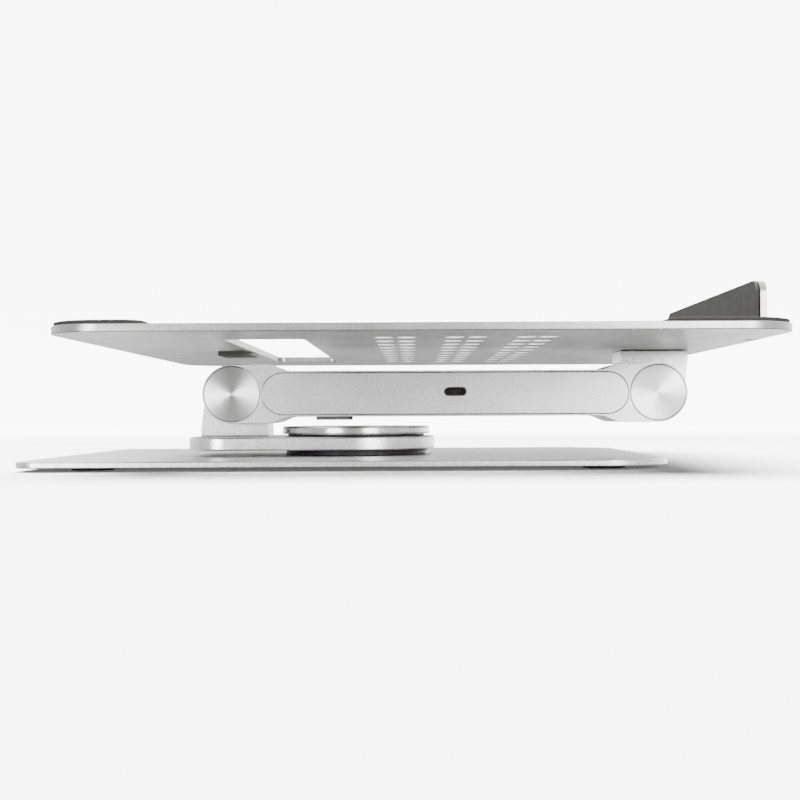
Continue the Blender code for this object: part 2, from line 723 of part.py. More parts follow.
def make_port():
    """The receptacle: a thin shell, open towards -Y and closed behind, around a tongue."""
    centre = (PORT_X, PORT_Z)
    half_u, half_v = PORT_HALF
    mouth = -ARM_HALF_Y + PORT_SETBACK
    back = mouth + PORT_DEPTH
    shell = slab("port_shell", obround(centre, half_u, half_v, 6), mouth, back, "Y", "steel")
    hollow = obround(centre, half_u - PORT_WALL, half_v - PORT_WALL, 6)
    tool = cutter("port_shell_hollow", [[(hollow, mouth - MM), (hollow, back - MM)]], "Y")
    cut(shell, tool)
    reach_u, reach_v = TONGUE_HALF
    low = (PORT_X - reach_u, PORT_Z - reach_v)
    high = (PORT_X + reach_u, PORT_Z + reach_v)
    tongue = rounded_box(low, high, (TONGUE_CORNER,) * 4, 2)
    y_ends = (mouth + TONGUE_SETBACK, back - TONGUE_BACK)
    blade = slab("port_tongue", tongue, *y_ends, "Y", "black_plastic")
    return [shell, tool, blade]


def make_board():
    low = (BOARD_X[0], BOARD_Y[0])
    high = (BOARD_X[1], BOARD_Y[1])
    outline = rounded_box(low, high, (BOARD_CORNER,) * 4, 3)
    board = slab("hub_board", outline, BOARD_Z[0], BOARD_Z[1], "Z", "circuit_board")
    cavity_floor = AXIS_Z - CAVITY_HALF_HEIGHT
    pieces = [board]
    holes = []
    for i, x in enumerate(STANDOFF_X):
        centre = (x, 0.0)
        hole = BOARD_SCREW_RADIUS + RUNNING_GAP
        heights = (cavity_floor + GAP, BOARD_Z[0] - GAP)
        name = "board_standoff_%d" % (i + 1)
        pieces.append(washer(name, centre, (hole, STANDOFF_RADIUS), heights, "Z", "steel", 12))
        bore = circle(centre, hole, 12)
        holes.append([(bore, BOARD_Z[0] - MM), (bore, BOARD_Z[1] + MM)])
        head = BOARD_Z[1] + GAP
        profile = [
            (BOARD_SCREW_RADIUS, cavity_floor + MM),
            (BOARD_SCREW_RADIUS, head),
            (BOARD_SCREW_HEAD_RADIUS, head),
            (BOARD_SCREW_HEAD_RADIUS, head + BOARD_SCREW_HEAD_HEIGHT),
        ]
        pieces.append(turned("board_screw_%d" % (i + 1), centre, profile, "Z", "steel", 12))
    tool = cutter("hub_board_holes", holes, "Z")
    cut(board, tool)
    low = (CHIP_X[0], -CHIP_HALF_Y)
    high = (CHIP_X[1], CHIP_HALF_Y)
    chip = rounded_box(low, high, (CHIP_CORNER,) * 4, 2)
    chip_low = BOARD_Z[1] + GAP
    heights = (chip_low, chip_low + CHIP_THICKNESS)
    pieces.append(slab("controller_chip", chip, *heights, "Z", "black_plastic", CHIP_CHAMFER))
    return pieces + [tool]


def make_arm_bumper():
    low, high = ARM_BUMPER_X
    corners = ((low, -ARM_BUMPER_HALF_Y), (high, ARM_BUMPER_HALF_Y))
    outline = rounded_box(*corners, (BUMPER_CORNER,) * 4, 3)
    top = AXIS_Z - ARM_HALF_HEIGHT - GAP
    bottom = top - ARM_BUMPER_HEIGHT
    return [slab("arm_bumper", outline, bottom, top, "Z", "grey_silicone", RUBBER_CHAMFER)]


def make_arm():
    pieces = make_arm_frame() + make_covers() + make_hinge_caps()
    return pieces + make_port() + make_board() + make_arm_bumper()


# ---------------------------------------------------------------- tray

def relief_outline(side):
    """The notch at one end of the lip, where the bend starts. Its points run along +Y."""
    front = TRAY_X[1]
    radius = RELIEF_WIDTH / 2.0
    middle = side * (LIP_HALF_Y + radius)
    round_end = arc((front - RELIEF_DEPTH + radius, middle), radius, 270.0, 90.0, 6)
    return [(front, middle - radius)] + round_end + [(front, middle + radius)]


def tray_outline():
    front = TRAY_X[1]
    r = TRAY_RADIUS
    points = arc((TRAY_X[0] + r, -TRAY_HALF_Y + r), r, 180.0, 270.0, 8)
    points += arc((front - r, -TRAY_HALF_Y + r), r, 270.0, 360.0, 8)
    points += relief_outline(-1) + relief_outline(1)
    points += arc((front - r, TRAY_HALF_Y - r), r, 0.0, 90.0, 8)
    points += arc((TRAY_X[0] + r, TRAY_HALF_Y - r), r, 90.0, 180.0, 8)
    return points


def lip_sections():
    """Cross-sections of the lip from the tray's front edge up: (inner x, z), (outer x, z), half width."""
    front = TRAY_X[1]
    outer_radius = LIP_BEND_RADIUS + TRAY_THICKNESS
    centre = (front, TRAY_BOTTOM + outer_radius)
    outer = arc(centre, outer_radius, -90.0, 0.0, 5)
    inner = arc(centre, LIP_BEND_RADIUS, -90.0, 0.0, 5)
    sections = [(a, b, LIP_HALF_Y) for a, b in zip(inner[1:], outer[1:])]
    inner_x, outer_x = inner[-1][0], outer[-1][0]
    corner_z = LIP_TOP - LIP_CORNER_RADIUS
    for i in range(7):
        angle = math.radians(90.0 * i / 6)
        z = corner_z + LIP_CORNER_RADIUS * math.sin(angle)
        half = LIP_HALF_Y - LIP_CORNER_RADIUS * (1.0 - math.cos(angle))
        sections.append(((inner_x, z), (outer_x, z), half))
    return sections


def make_tray_blank():
    """The tray and its lip as one sheet, before its openings are cut."""
    bm = bmesh.new()
    outline = tray_outline()
    low = [bm.verts.new((x, y, TRAY_BOTTOM)) for x, y in outline]
    high = [bm.verts.new((x, y, TRAY_TOP)) for x, y in outline]
    count = len(outline)
    lip_edge = None
    for i in range(count):
        j = (i + 1) % count
        (x0, y0), (x1, y1) = outline[i], outline[j]
        if x0 == x1 and y1 - y0 > LIP_HALF_Y:
            if x0 == TRAY_X[1]:
                lip_edge = (i, j)
                continue
        bm.faces.new((low[i], low[j], high[j], high[i]))
    bm.faces.new(low[::-1])
    bm.faces.new(high)
    first, last = lip_edge
    ring = [high[first], high[last], low[last], low[first]]
    for (inner_x, inner_z), (outer_x, outer_z), half in lip_sections():
        spots = (
            (inner_x, -half, inner_z),
            (inner_x, half, inner_z),
            (outer_x, half, outer_z),
            (outer_x, -half, outer_z),
        )
        following = [bm.verts.new(spot) for spot in spots]
        add_band(bm, ring, following, True)
        ring = following
    bm.faces.new(ring[::-1])
    return finish_mesh("tray_plate", bm, "anodised_aluminium")


def vent_centres():
    centres = []
    for group in VENT_GROUPS_X:
        for side in (-1, 1):
            for row in range(VENT_ROWS):
                y = (row - (VENT_ROWS - 1) / 2.0) * VENT_PITCH
                centres.append((group + side * VENT_OFFSET_X, y))
    return centres


def make_tray_plate():
    tray = make_tray_blank()
    bottom, top = TRAY_BOTTOM - MM, TRAY_TOP + MM
    radius = WINDOW_RADIUS
    window = rounded_box(
        (WINDOW_X[0], -WINDOW_HALF_Y), (WINDOW_X[1], WINDOW_HALF_Y), (radius,) * 4, 4
    )
    prisms = [[(window, bottom), (window, top)]]
    for centre in vent_centres():
        vent = obround(centre, VENT_WIDTH / 2.0, VENT_LENGTH / 2.0, 2)
        prisms.append([(vent, bottom), (vent, top)])
    for centre in bracket_screw_centres(UPPER_AXIS_X):
        prisms.append(screw_hole(centre, TRAY_TOP, -1, 2 * TRAY_THICKNESS))
    tool = cutter("tray_plate_openings", prisms, "Z")
    cut(tray, tool)
    return [tray, tool]


def make_tray_rubber():
    y = TRAY_HALF_Y - PAD_INSET
    r = TRAY_RADIUS - PAD_INSET
    low, high = TRAY_TOP + GAP, TRAY_TOP + GAP + PAD_THICKNESS
    c = PAD_CORNER
    front = rounded_box((FRONT_PAD_REAR_X, -y), (TRAY_X[1] - PAD_INSET, y), (c, r, r, c), 6)
    rear = rounded_box((TRAY_X[0] + PAD_INSET, -y), (REAR_PAD_FRONT_X, y), (r, c, c, r), 6)
    pieces = [
        slab("front_pad", front, low, high, "Z", "grey_silicone", RUBBER_CHAMFER),
        slab("rear_pad", rear, low, high, "Z", "grey_silicone", RUBBER_CHAMFER),
    ]
    lip_inner = TRAY_X[1] + LIP_BEND_RADIUS
    half = LIP_HALF_Y - FACING_INSET
    corner = LIP_CORNER_RADIUS - FACING_INSET
    facing_bottom = TRAY_TOP + LIP_BEND_RADIUS + FACING_LIFT
    radii = (FACING_CORNER, FACING_CORNER, corner, corner)
    outline = rounded_box((-half, facing_bottom), (half, FACING_TOP), radii, 4)
    faces = (lip_inner - GAP - FACING_THICKNESS, lip_inner - GAP)
    pieces.append(slab("lip_facing", outline, *faces, "X", "grey_silicone", RUBBER_CHAMFER))
    corners = ((TRAY_BUMPER_X[0], -BRACKET_HALF_Y), (TRAY_BUMPER_X[1], BRACKET_HALF_Y))
    bumper = rounded_box(*corners, (BUMPER_CORNER,) * 4, 3)
    top = TRAY_BOTTOM - GAP
    heights = (top - TRAY_BUMPER_HEIGHT, top)
    pieces.append(slab("tray_bumper", bumper, *heights, "Z", "grey_silicone", RUBBER_CHAMFER))
    return pieces


def make_tray():
    pieces = make_tray_plate()
    pieces += make_bracket("upper_bracket", UPPER_AXIS_X, TRAY_BOTTOM - GAP)
    for i, centre in enumerate(bracket_screw_centres(UPPER_AXIS_X)):
        length = TRAY_THICKNESS + SCREW_REACH
        pieces.append(screw("upper_bracket_screw_%d" % (i + 1), centre, TRAY_TOP, -1, length))
    pieces += make_hinge_core("upper", UPPER_AXIS_X)
    return pieces + make_tray_rubber()


# ---------------------------------------------------------------- assembly

def clear_scene():
    for obj in list(bpy.data.objects):
        bpy.data.objects.remove(obj, do_unlink=True)


def main():
    clear_scene()
    swivel_axis = axis_empty("swivel_axis", (0.0, 0.0, 0.0), None)
    lower_axis = axis_empty("lower_hinge_axis", (LOWER_AXIS_X, 0.0, AXIS_Z), swivel_axis)
    upper_axis = axis_empty("upper_hinge_axis", (UPPER_AXIS_X, 0.0, AXIS_Z), lower_axis)
    make_base_plate()
    make_base_rubber()
    make_swivel_core()
    hang(make_turntable(), swivel_axis)
    hang(make_arm(), lower_axis)
    hang(make_tray(), upper_axis)


main()
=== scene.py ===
import json
import math

import bmesh
import bpy
from mathutils import Matrix, Vector


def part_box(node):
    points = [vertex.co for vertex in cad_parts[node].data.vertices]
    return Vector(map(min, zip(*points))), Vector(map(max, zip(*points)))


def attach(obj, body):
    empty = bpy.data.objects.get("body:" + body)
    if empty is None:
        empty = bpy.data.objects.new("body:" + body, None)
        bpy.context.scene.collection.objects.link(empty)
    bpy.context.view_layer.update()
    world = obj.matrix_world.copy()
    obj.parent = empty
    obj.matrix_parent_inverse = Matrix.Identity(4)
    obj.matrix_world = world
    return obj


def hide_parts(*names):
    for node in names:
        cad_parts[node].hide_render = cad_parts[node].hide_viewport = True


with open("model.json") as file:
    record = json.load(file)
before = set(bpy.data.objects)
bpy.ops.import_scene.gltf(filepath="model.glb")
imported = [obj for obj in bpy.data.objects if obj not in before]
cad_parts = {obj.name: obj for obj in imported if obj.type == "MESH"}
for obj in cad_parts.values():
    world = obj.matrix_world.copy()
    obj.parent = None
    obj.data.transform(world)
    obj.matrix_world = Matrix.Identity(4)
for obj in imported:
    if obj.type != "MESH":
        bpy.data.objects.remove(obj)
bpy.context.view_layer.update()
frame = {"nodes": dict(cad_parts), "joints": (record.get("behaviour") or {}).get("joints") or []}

MM = 0.001
JOINTS = {joint["name"]: joint for joint in frame["joints"]}
LOWER_HINGE = Vector(JOINTS["arm_lift"]["pos_m"])
UPPER_HINGE = Vector(JOINTS["tray_tilt"]["pos_m"])

# Sheet-metal details of the tray. Its outer sizes are read from the frame.
TRAY_THICKNESS = 2.6 * MM
TRAY_CORNER = 20.0 * MM
TRAY_RIM = 0.25 * MM
BEND_OUTER_RADIUS = 4.0 * MM
LIP_HALF_WIDTH = 73.0 * MM
LIP_CORNER = 5.0 * MM
RELIEF_WIDTH = 4.5 * MM
RELIEF_DEPTH = 5.0 * MM
WINDOW = (-42.7 * MM, -88.0 * MM, -14.0 * MM, 88.0 * MM)
WINDOW_CORNER = 3.0 * MM
VENT_GROUPS_X = (18.2 * MM, 43.1 * MM, 68.0 * MM)
VENT_OFFSET_X = 3.95 * MM
VENT_WIDTH = 6.4 * MM
VENT_LENGTH = 14.5 * MM
VENT_EDGE = 0.12 * MM     # depth of the layer on a vent's wall that carries its painted highlight
VENT_EDGE_RIM = 0.06 * MM
VENT_BREAK = 0.3 * MM     # height of the sheet's own edge above and below that layer
VENT_ROWS = 10
VENT_PITCH = 20.5 * MM

# Rubber on the tray and under the arm
PAD_CORNER = 6.0 * MM
PAD_RIM = 0.2 * MM
PAD_FLOAT = 0.02 * MM     # between a pad and the sheet under it
FACING_INSET = 0.4 * MM
FACING_FOOT_CORNER = 0.5 * MM
FACING_RIM = 0.25 * MM
BUMPER_CORNER = 2.0 * MM
BUMPER_RIM = 0.15 * MM
BUMPER_GLUE = 0.28 * MM   # how far a bumper reaches up to the face that it is stuck to

# Base and swivel
BASE_REAR_CORNER = 10.0 * MM
BASE_FRONT_CORNER = 27.0 * MM
BASE_RIM = 0.35 * MM
RING_MARK_CENTRE = (80.0 * MM, 0.0)
RING_MARK_RADIUS = 28.0 * MM
RING_MARK_WIDTH = 0.5 * MM
RING_MARK_DEPTH = 0.25 * MM
RING_MARK_RIM = 0.05 * MM
FOOT_RIM = 0.35 * MM
CENTRE_PAD_RIM = 0.2 * MM
RING_BORE = 20.0 * MM
RING_RADIUS = 29.7 * MM
RING_RIM = 0.08 * MM
RING_FLANGE_THICKNESS = 0.6 * MM
RING_FLANGE_RIM = 0.15 * MM
SWIVEL_CORNER = 17.0 * MM
SWIVEL_RIM = 0.7 * MM
SWIVEL_BORE = 12.15 * MM
SPIGOT_RADIUS = 5.5 * MM
CAP_DISC_RIM = 0.7 * MM
CAP_DISC_LIFT = 0.2 * MM    # above the upper ring
CAP_DISC_SOFTENING = 0.12 * MM

# Hinges; depths of pockets and bores are distances from the arm's middle plane
BRACKET_RADIUS = 12.2 * MM
BRACKET_FOOT_HEIGHT = 3.0 * MM
BRACKET_RIM = 0.3 * MM
HINGE_CAP_RADIUS = 11.4 * MM
HINGE_CAP_RIM = 0.22 * MM
CAP_POCKET_FLOOR = 16.4 * MM
NUT_POCKET_RADIUS = 7.7 * MM
NUT_POCKET = (13.7 * MM, 17.0 * MM)
PIN_BORE_RADIUS = 4.12 * MM
PIN_BORE_REACH = 15.0 * MM

# Arm
ARM_BODY_HALF_HEIGHT = 9.5 * MM
ARM_NECK = (15.0 * MM, 24.5 * MM)
SLOT_HALF_WIDTH = 11.8 * MM
SLOT_LENGTH = 15.6 * MM
SLOT_CORNER = 0.8 * MM
SLOT_PAST = 20.0 * MM     # from the hinge axis, well outside the arm's round end
GROOVE = 0.22 * MM        # around the covers and the hinge caps
ARM_RIM = 0.2 * MM
COVER_RIM = 0.15 * MM
COVER_BACK_GAP = 0.3 * MM
CUT_PAST = 2.0 * MM       # how far cutters reach past the arm's sides
CAVITY_INSET = (8.0 * MM, 8.4 * MM)   # from the covers' ends
CAVITY_HALF_HEIGHT = 6.3 * MM
CAVITY_CORNER = 2.0 * MM
CAVITY_WALL = 1.0 * MM

# Port
PORT_CLEARANCE = 0.25 * MM
PORT_SHELL_WALL = 0.3 * MM
PORT_RIM = 0.08 * MM
PORT_BACK = 1.0 * MM
PORT_BACK_RIM = 0.05 * MM
TONGUE_CORNER = 0.25 * MM
TONGUE_RIM = 0.1 * MM
CONTACTS = 12
CONTACT_PITCH = 0.5 * MM
CONTACT_HALF = (0.13 * MM, 0.02 * MM)
CONTACT_CORNER = 0.01 * MM
CONTACT_Y = (0.4 * MM, 2.8 * MM)      # from the tongue's tip

# Shading
SMOOTH_ANGLE = 32.0
NOISE_RANGE = (0.3, 0.7)  # where nearly all of a noise texture's values lie

# Studio: the surround's brightness by how far a direction points to +X, and the glow of the paper
SURROUND = (
    (-1.0, 0.9), (-0.7, 1.0), (-0.5, 1.6), (-0.32, 1.8), (-0.18, 0.85),
    (0.14, 0.85), (0.22, 1.6), (0.3, 2.6), (0.65, 2.2), (0.85, 1.5), (1.0, 1.2),
)
SURROUND_BEHIND = 1.9    # how bright the surround is on the far side, against the near side
SURROUND_TURN = (-0.5, 0.5)        # over which directions along Y it changes between those
SURROUND_BELOW = 0.08    # and well below the horizon, where the floor is in the way
SURROUND_HORIZON = (-0.35, -0.08)  # over which directions along Z it falls to that
GLOW_START = 0.45
GLOW_FULL = 1.2
GLOW = 7.0
FLOOR_MIDDLE = 1.0
FLOOR_RADIUS = 1.6
SWEEP_RADIUS = 0.6
WALL_TOP = 1.7
FLOOR_STEPS = 96
SOFTBOXES = {   # place, target, size and power
    "top_softbox": ((0.0, 0.0, 1.4), (0.0, 0.0, 0.0), (2.0, 2.0), 260.0),
    "left_softbox": ((-0.66, -1.1, 0.03), (0.0, 0.0, 0.03), (0.5, 0.35), 9.0),
    "right_softbox": ((0.53, -1.15, 0.3), (0.0, 0.0, 0.03), (0.44, 0.5), 12.0),
}

# Camera
CAMERA_PLACE = (24.1 * MM, -497.0 * MM, 20.05 * MM)
CAMERA_LENS = 52.2
CAMERA_SENSOR = 36.0
CAMERA_ROLL = 0.26
CAMERA_SHIFT = (-0.0155, 0.01875)
CAMERA_CLIP = 0.01


# ---------------------------------------------------------------- outlines

def arc(centre, radius, start, end, steps):
    """Points along a circular arc, with angles in degrees."""
    points = []
    for i in range(steps + 1):
        angle = math.radians(start + (end - start) * i / steps)
        points.append((centre[0] + radius * math.cos(angle), centre[1] + radius * math.sin(angle)))
    return points


def circle(centre, radius, steps=96):
    return arc(centre, radius, 0.0, 360.0, steps)[:-1]


def rounded_box(low, high, radii, steps=12):
    """Rounded rectangle. Radii: low-low, high-low, high-high and low-high corners."""
    corners = (
        ((low[0] + radii[0], low[1] + radii[0]), radii[0], 180.0),
        ((high[0] - radii[1], low[1] + radii[1]), radii[1], 270.0),
        ((high[0] - radii[2], high[1] - radii[2]), radii[2], 0.0),
        ((low[0] + radii[3], high[1] - radii[3]), radii[3], 90.0),
    )
    points = []
    for centre, radius, start in corners:
        points += arc(centre, radius, start, start + 90.0, steps)
    return points


def obround(centre, half_u, half_v, steps=12):
    """A slot shape: two half circles, joined by straight sides along the longer direction."""
    radius = min(half_u, half_v)
    reach_u, reach_v = half_u - radius, half_v - radius
    start = -90.0 if reach_u > 0.0 else 0.0
    high = (centre[0] + reach_u, centre[1] + reach_v)
    low = (centre[0] - reach_u, centre[1] - reach_v)
    points = arc(high, radius, start, start + 180.0, 2 * steps)
    return points + arc(low, radius, start + 180.0, start + 360.0, 2 * steps)


def middle(low, high, *axes):
    """The middle of a box along some of its axes."""
    return tuple((low[i] + high[i]) / 2.0 for i in axes)


# ---------------------------------------------------------------- meshes

AXIS_TURNS = {
    "Z": Matrix.Identity(4),
    "Y": Matrix.Rotation(math.radians(90.0), 4, "X"),
    "X": Matrix(((0, 0, 1, 0), (1, 0, 0, 0), (0, 1, 0, 0), (0, 0, 0, 1))),
}
AXIS_VECTORS = {"X": Vector((1, 0, 0)), "Y": Vector((0, 1, 0)), "Z": Vector((0, 0, 1))}


def as_piece(name, bm):
    """An object from a bmesh, shaded smooth, with flat faces kept flat."""
    mesh = bpy.data.meshes.new(name)
    bm.to_mesh(mesh)
    bm.free()
    mesh.shade_smooth()
    mesh.set_sharp_from_angle(angle=math.radians(SMOOTH_ANGLE))
    piece = bpy.data.objects.new(name, mesh)
    bpy.context.scene.collection.objects.link(piece)
    normals = piece.modifiers.new("face_normals", "WEIGHTED_NORMAL")
    normals.keep_sharp = True
    return piece


def plate(name, loops, low, high, axis, rim):
    """A flat piece from low to high along an axis: an outline and its holes, with rounded rims.

    The curve is drawn in millimetres, because its fill works with fixed tolerances.
    """
    curve = bpy.data.curves.new(name, "CURVE")
    curve.dimensions = "2D"
    curve.fill_mode = "BOTH"
    curve.extrude = ((high - low) / 2.0 - rim) / MM
    curve.bevel_depth = rim / MM
    curve.bevel_resolution = 2
    curve.offset = -rim / MM
    for loop in loops:
        spline = curve.splines.new("POLY")
        spline.points.add(len(loop) - 1)
        for point, (u, v) in zip(spline.points, loop):
            point.co = (u / MM, v / MM, 0.0, 1.0)
        spline.use_cyclic_u = True
    drawing = bpy.data.objects.new(name + "_curve", curve)
    bpy.context.scene.collection.objects.link(drawing)
    depsgraph = bpy.context.evaluated_depsgraph_get()
    mesh = bpy.data.meshes.new_from_object(drawing.evaluated_get(depsgraph))
    bpy.data.objects.remove(drawing)
    bm = bmesh.new()
    bm.from_mesh(mesh)
    bpy.data.meshes.remove(mesh)
    bmesh.ops.remove_doubles(bm, verts=bm.verts, dist=0.001)
    place = Matrix.Translation(AXIS_VECTORS[axis] * (low + high) / 2.0) @ AXIS_TURNS[axis]
    bm.transform(place @ Matrix.Scale(MM, 4))
    return as_piece(name, bm)


def turned(name, centre, profile, axis, steps=128):
    """A solid of revolution about a line along axis. Profile: (radius, height), closed at both ends."""
    bm = bmesh.new()
    rings = []
    for radius, height in profile:
        points = circle(centre, radius, steps) if radius > 0.0 else [centre]
        rings.append([bm.verts.new(in_space(point, height, axis)) for point in points])
    for ring, following in zip(rings, rings[1:]):
        for i in range(steps):
            corners = [ring[i - 1], ring[i]] if len(ring) > 1 else [ring[0]]
            corners += [following[i], following[i - 1]] if len(following) > 1 else [following[0]]
            bm.faces.new(corners)
    bmesh.ops.recalc_face_normals(bm, faces=bm.faces)
    return as_piece(name, bm)


def in_space(point, height, axis):
    u, v = point
    if axis == "X":
        return (height, u, v)
    if axis == "Y":
        return (u, height, v)
    return (u, v, height)


def prism(name, outline, low, high, axis):
    """A plain extruded outline, as raw material for cuts."""
    bm = bmesh.new()
    bottom = [bm.verts.new(in_space(point, low, axis)) for point in outline]
    top = [bm.verts.new(in_space(point, high, axis)) for point in outline]
    for i in range(len(outline)):
        bm.faces.new((bottom[i - 1], bottom[i], top[i], top[i - 1]))
    bm.faces.new(bottom[::-1])
    bm.faces.new(top)
    if axis == "Y":
        bmesh.ops.reverse_faces(bm, faces=bm.faces)
    return as_piece(name, bm)


def machined(piece, cutters, rim=0.0):
    """Cuts a piece with other pieces, then rounds its sharp edges."""
    piece.modifiers.clear()
    for cutter in cutters:
        cut = piece.modifiers.new("cut", "BOOLEAN")
        cut.operation = "DIFFERENCE"
        cut.solver = "EXACT"
        cut.object = cutter
    if rim > 0.0:
        bevel = piece.modifiers.new("rims", "BEVEL")
        bevel.width = rim
        bevel.segments = 3
        bevel.limit_method = "ANGLE"
        bevel.angle_limit = math.radians(40.0)
        bevel.use_clamp_overlap = False
    depsgraph = bpy.context.evaluated_depsgraph_get()
    mesh = bpy.data.meshes.new_from_object(piece.evaluated_get(depsgraph))
    piece.modifiers.clear()
    piece.data = mesh
    mesh.shade_smooth()
    mesh.set_sharp_from_angle(angle=math.radians(SMOOTH_ANGLE))
    normals = piece.modifiers.new("face_normals", "WEIGHTED_NORMAL")
    normals.keep_sharp = True
    for cutter in cutters:
        bpy.data.objects.remove(cutter)
    return piece


def joined(piece, others):
    """Joins other pieces' meshes to a piece. They share its material."""
    bm = bmesh.new()
    for part in [piece] + others:
        bm.from_mesh(part.data)
    bm.to_mesh(piece.data)
    bm.free()
    piece.data.shade_smooth()
    piece.data.set_sharp_from_angle(angle=math.radians(SMOOTH_ANGLE))
    for other in others:
        bpy.data.objects.remove(other)
    return piece


# ---------------------------------------------------------------- materials

def new_material(name, colour, roughness, metallic):
    material = bpy.data.materials.new(name)
    material.use_nodes = True
    shader = material.node_tree.nodes["Principled BSDF"]
    shader.inputs["Base Color"].default_value = (*colour, 1.0)
    shader.inputs["Roughness"].default_value = roughness
    shader.inputs["Metallic"].default_value = metallic
    return material, material.node_tree, shader


def noise(tree, scale, detail=3.0):
    """Noise that is fixed to the object, in metres."""
    coordinates = tree.nodes.new("ShaderNodeTexCoord")
    texture = tree.nodes.new("ShaderNodeTexNoise")
    texture.inputs["Scale"].default_value = scale
    texture.inputs["Detail"].default_value = detail
    tree.links.new(coordinates.outputs["Object"], texture.inputs["Vector"])
    return texture.outputs["Fac"]


def vary(tree, factor, socket, low, high):
    """Drives a number between low and high by a texture."""
    spread = tree.nodes.new("ShaderNodeMapRange")
    spread.inputs["From Min"].default_value = NOISE_RANGE[0]
    spread.inputs["From Max"].default_value = NOISE_RANGE[1]
    spread.inputs["To Min"].default_value = low
    spread.inputs["To Max"].default_value = high
    tree.links.new(factor, spread.inputs["Value"])
    tree.links.new(spread.outputs["Result"], socket)


def tint(tree, factor, socket, dark, light):
    """Drives a colour between two shades by a texture."""
    ramp = tree.nodes.new("ShaderNodeValToRGB")
    ramp.color_ramp.elements[0].position = NOISE_RANGE[0]
    ramp.color_ramp.elements[0].color = (*dark, 1.0)
    ramp.color_ramp.elements[1].position = NOISE_RANGE[1]
    ramp.color_ramp.elements[1].color = (*light, 1.0)
    tree.links.new(factor, ramp.inputs["Fac"])
    tree.links.new(ramp.outputs["Color"], socket)


def relief(tree, shader, height, distance, strength):
    bump = tree.nodes.new("ShaderNodeBump")
    bump.inputs["Distance"].default_value = distance
    bump.inputs["Strength"].default_value = strength
    tree.links.new(height, bump.inputs["Height"])
    tree.links.new(bump.outputs["Normal"], shader.inputs["Normal"])


def anodised(name, shade=0.74, roughness=0.31):
    """Bead-blasted, anodised aluminium: a fine speckled grain, and slow changes in its sheen."""
    material, tree, shader = new_material(name, (shade,) * 3, roughness, 1.0)
    darker, lighter = (shade * 0.85,) * 3, (shade * 1.14,) * 3
    tint(tree, noise(tree, 1000.0, 2.0), shader.inputs["Base Color"], darker, lighter)
    vary(tree, noise(tree, 60.0), shader.inputs["Roughness"], roughness - 0.03, roughness + 0.03)
    relief(tree, shader, noise(tree, 1400.0, 2.0), 0.06 * MM, 0.4)
    return material


def vent_wall_highlight(name):
    """Cut aluminium, painted pale as a painted highlight for the light that falls into the vents, with a
    slight scatter.
    """
    material, tree, shader = new_material(name, (0.93, 0.93, 0.925), 0.4, 0.5)
    vary(tree, noise(tree, 900.0), shader.inputs["Roughness"], 0.34, 0.46)
    relief(tree, shader, noise(tree, 2000.0), 0.01 * MM, 0.2)
    return material


def spun(name, axis, centre, colour=(0.72, 0.72, 0.715)):
    """Turned aluminium: fine rings about an axis, and the stretched highlights that they make."""
    material, tree, shader = new_material(name, colour, 0.3, 1.0)
    shader.inputs["Anisotropic"].default_value = 0.92
    shader.inputs["Anisotropic Rotation"].default_value = 0.25
    tangent = tree.nodes.new("ShaderNodeTangent")
    tangent.direction_type = "RADIAL"
    tangent.axis = axis
    tree.links.new(tangent.outputs["Tangent"], shader.inputs["Tangent"])
    coordinates = tree.nodes.new("ShaderNodeTexCoord")
    offset = tree.nodes.new("ShaderNodeVectorMath")
    offset.operation = "SUBTRACT"
    offset.inputs[1].default_value = centre
    rings = tree.nodes.new("ShaderNodeTexWave")
    rings.wave_type = "RINGS"
    rings.rings_direction = axis
    rings.inputs["Scale"].default_value = 700.0
    rings.inputs["Distortion"].default_value = 0.6
    tree.links.new(coordinates.outputs["Object"], offset.inputs[0])
    tree.links.new(offset.outputs["Vector"], rings.inputs["Vector"])
    vary(tree, rings.outputs["Fac"], shader.inputs["Roughness"], 0.27, 0.33)
    relief(tree, shader, rings.outputs["Fac"], 0.01 * MM, 0.15)
    return material


def steel(name, shade=0.48):
    material, tree, shader = new_material(name, (shade, shade, shade), 0.33, 1.0)
    vary(tree, noise(tree, 700.0), shader.inputs["Roughness"], 0.26, 0.40)
    relief(tree, shader, noise(tree, 2400.0), 0.01 * MM, 0.2)
    return material


def silicone(name, shade=0.045):
    """Grey silicone: matte, with the soft grain of its mould and a little dust."""
    material, tree, shader = new_material(name, (shade, shade, shade * 0.95), 0.85, 0.0)
    shader.inputs["Specular IOR Level"].default_value = 0.15
    darker = (shade * 0.97, shade * 0.97, shade * 0.92)
    lighter = (shade * 1.03, shade * 1.03, shade * 0.98)
    tint(tree, noise(tree, 60.0, 1.0), shader.inputs["Base Color"], darker, lighter)
    vary(tree, noise(tree, 200.0, 1.0), shader.inputs["Roughness"], 0.82, 0.90)
    relief(tree, shader, noise(tree, 3500.0, 1.0), 0.01 * MM, 0.15)
    return material


def moulded(name, shade):
    """Matte moulded plastic."""
    material, tree, shader = new_material(name, shade, 0.5, 0.0)
    shader.inputs["Specular IOR Level"].default_value = 0.3
    vary(tree, noise(tree, 500.0), shader.inputs["Roughness"], 0.44, 0.58)
    relief(tree, shader, noise(tree, 2500.0), 0.02 * MM, 0.2)
    return material


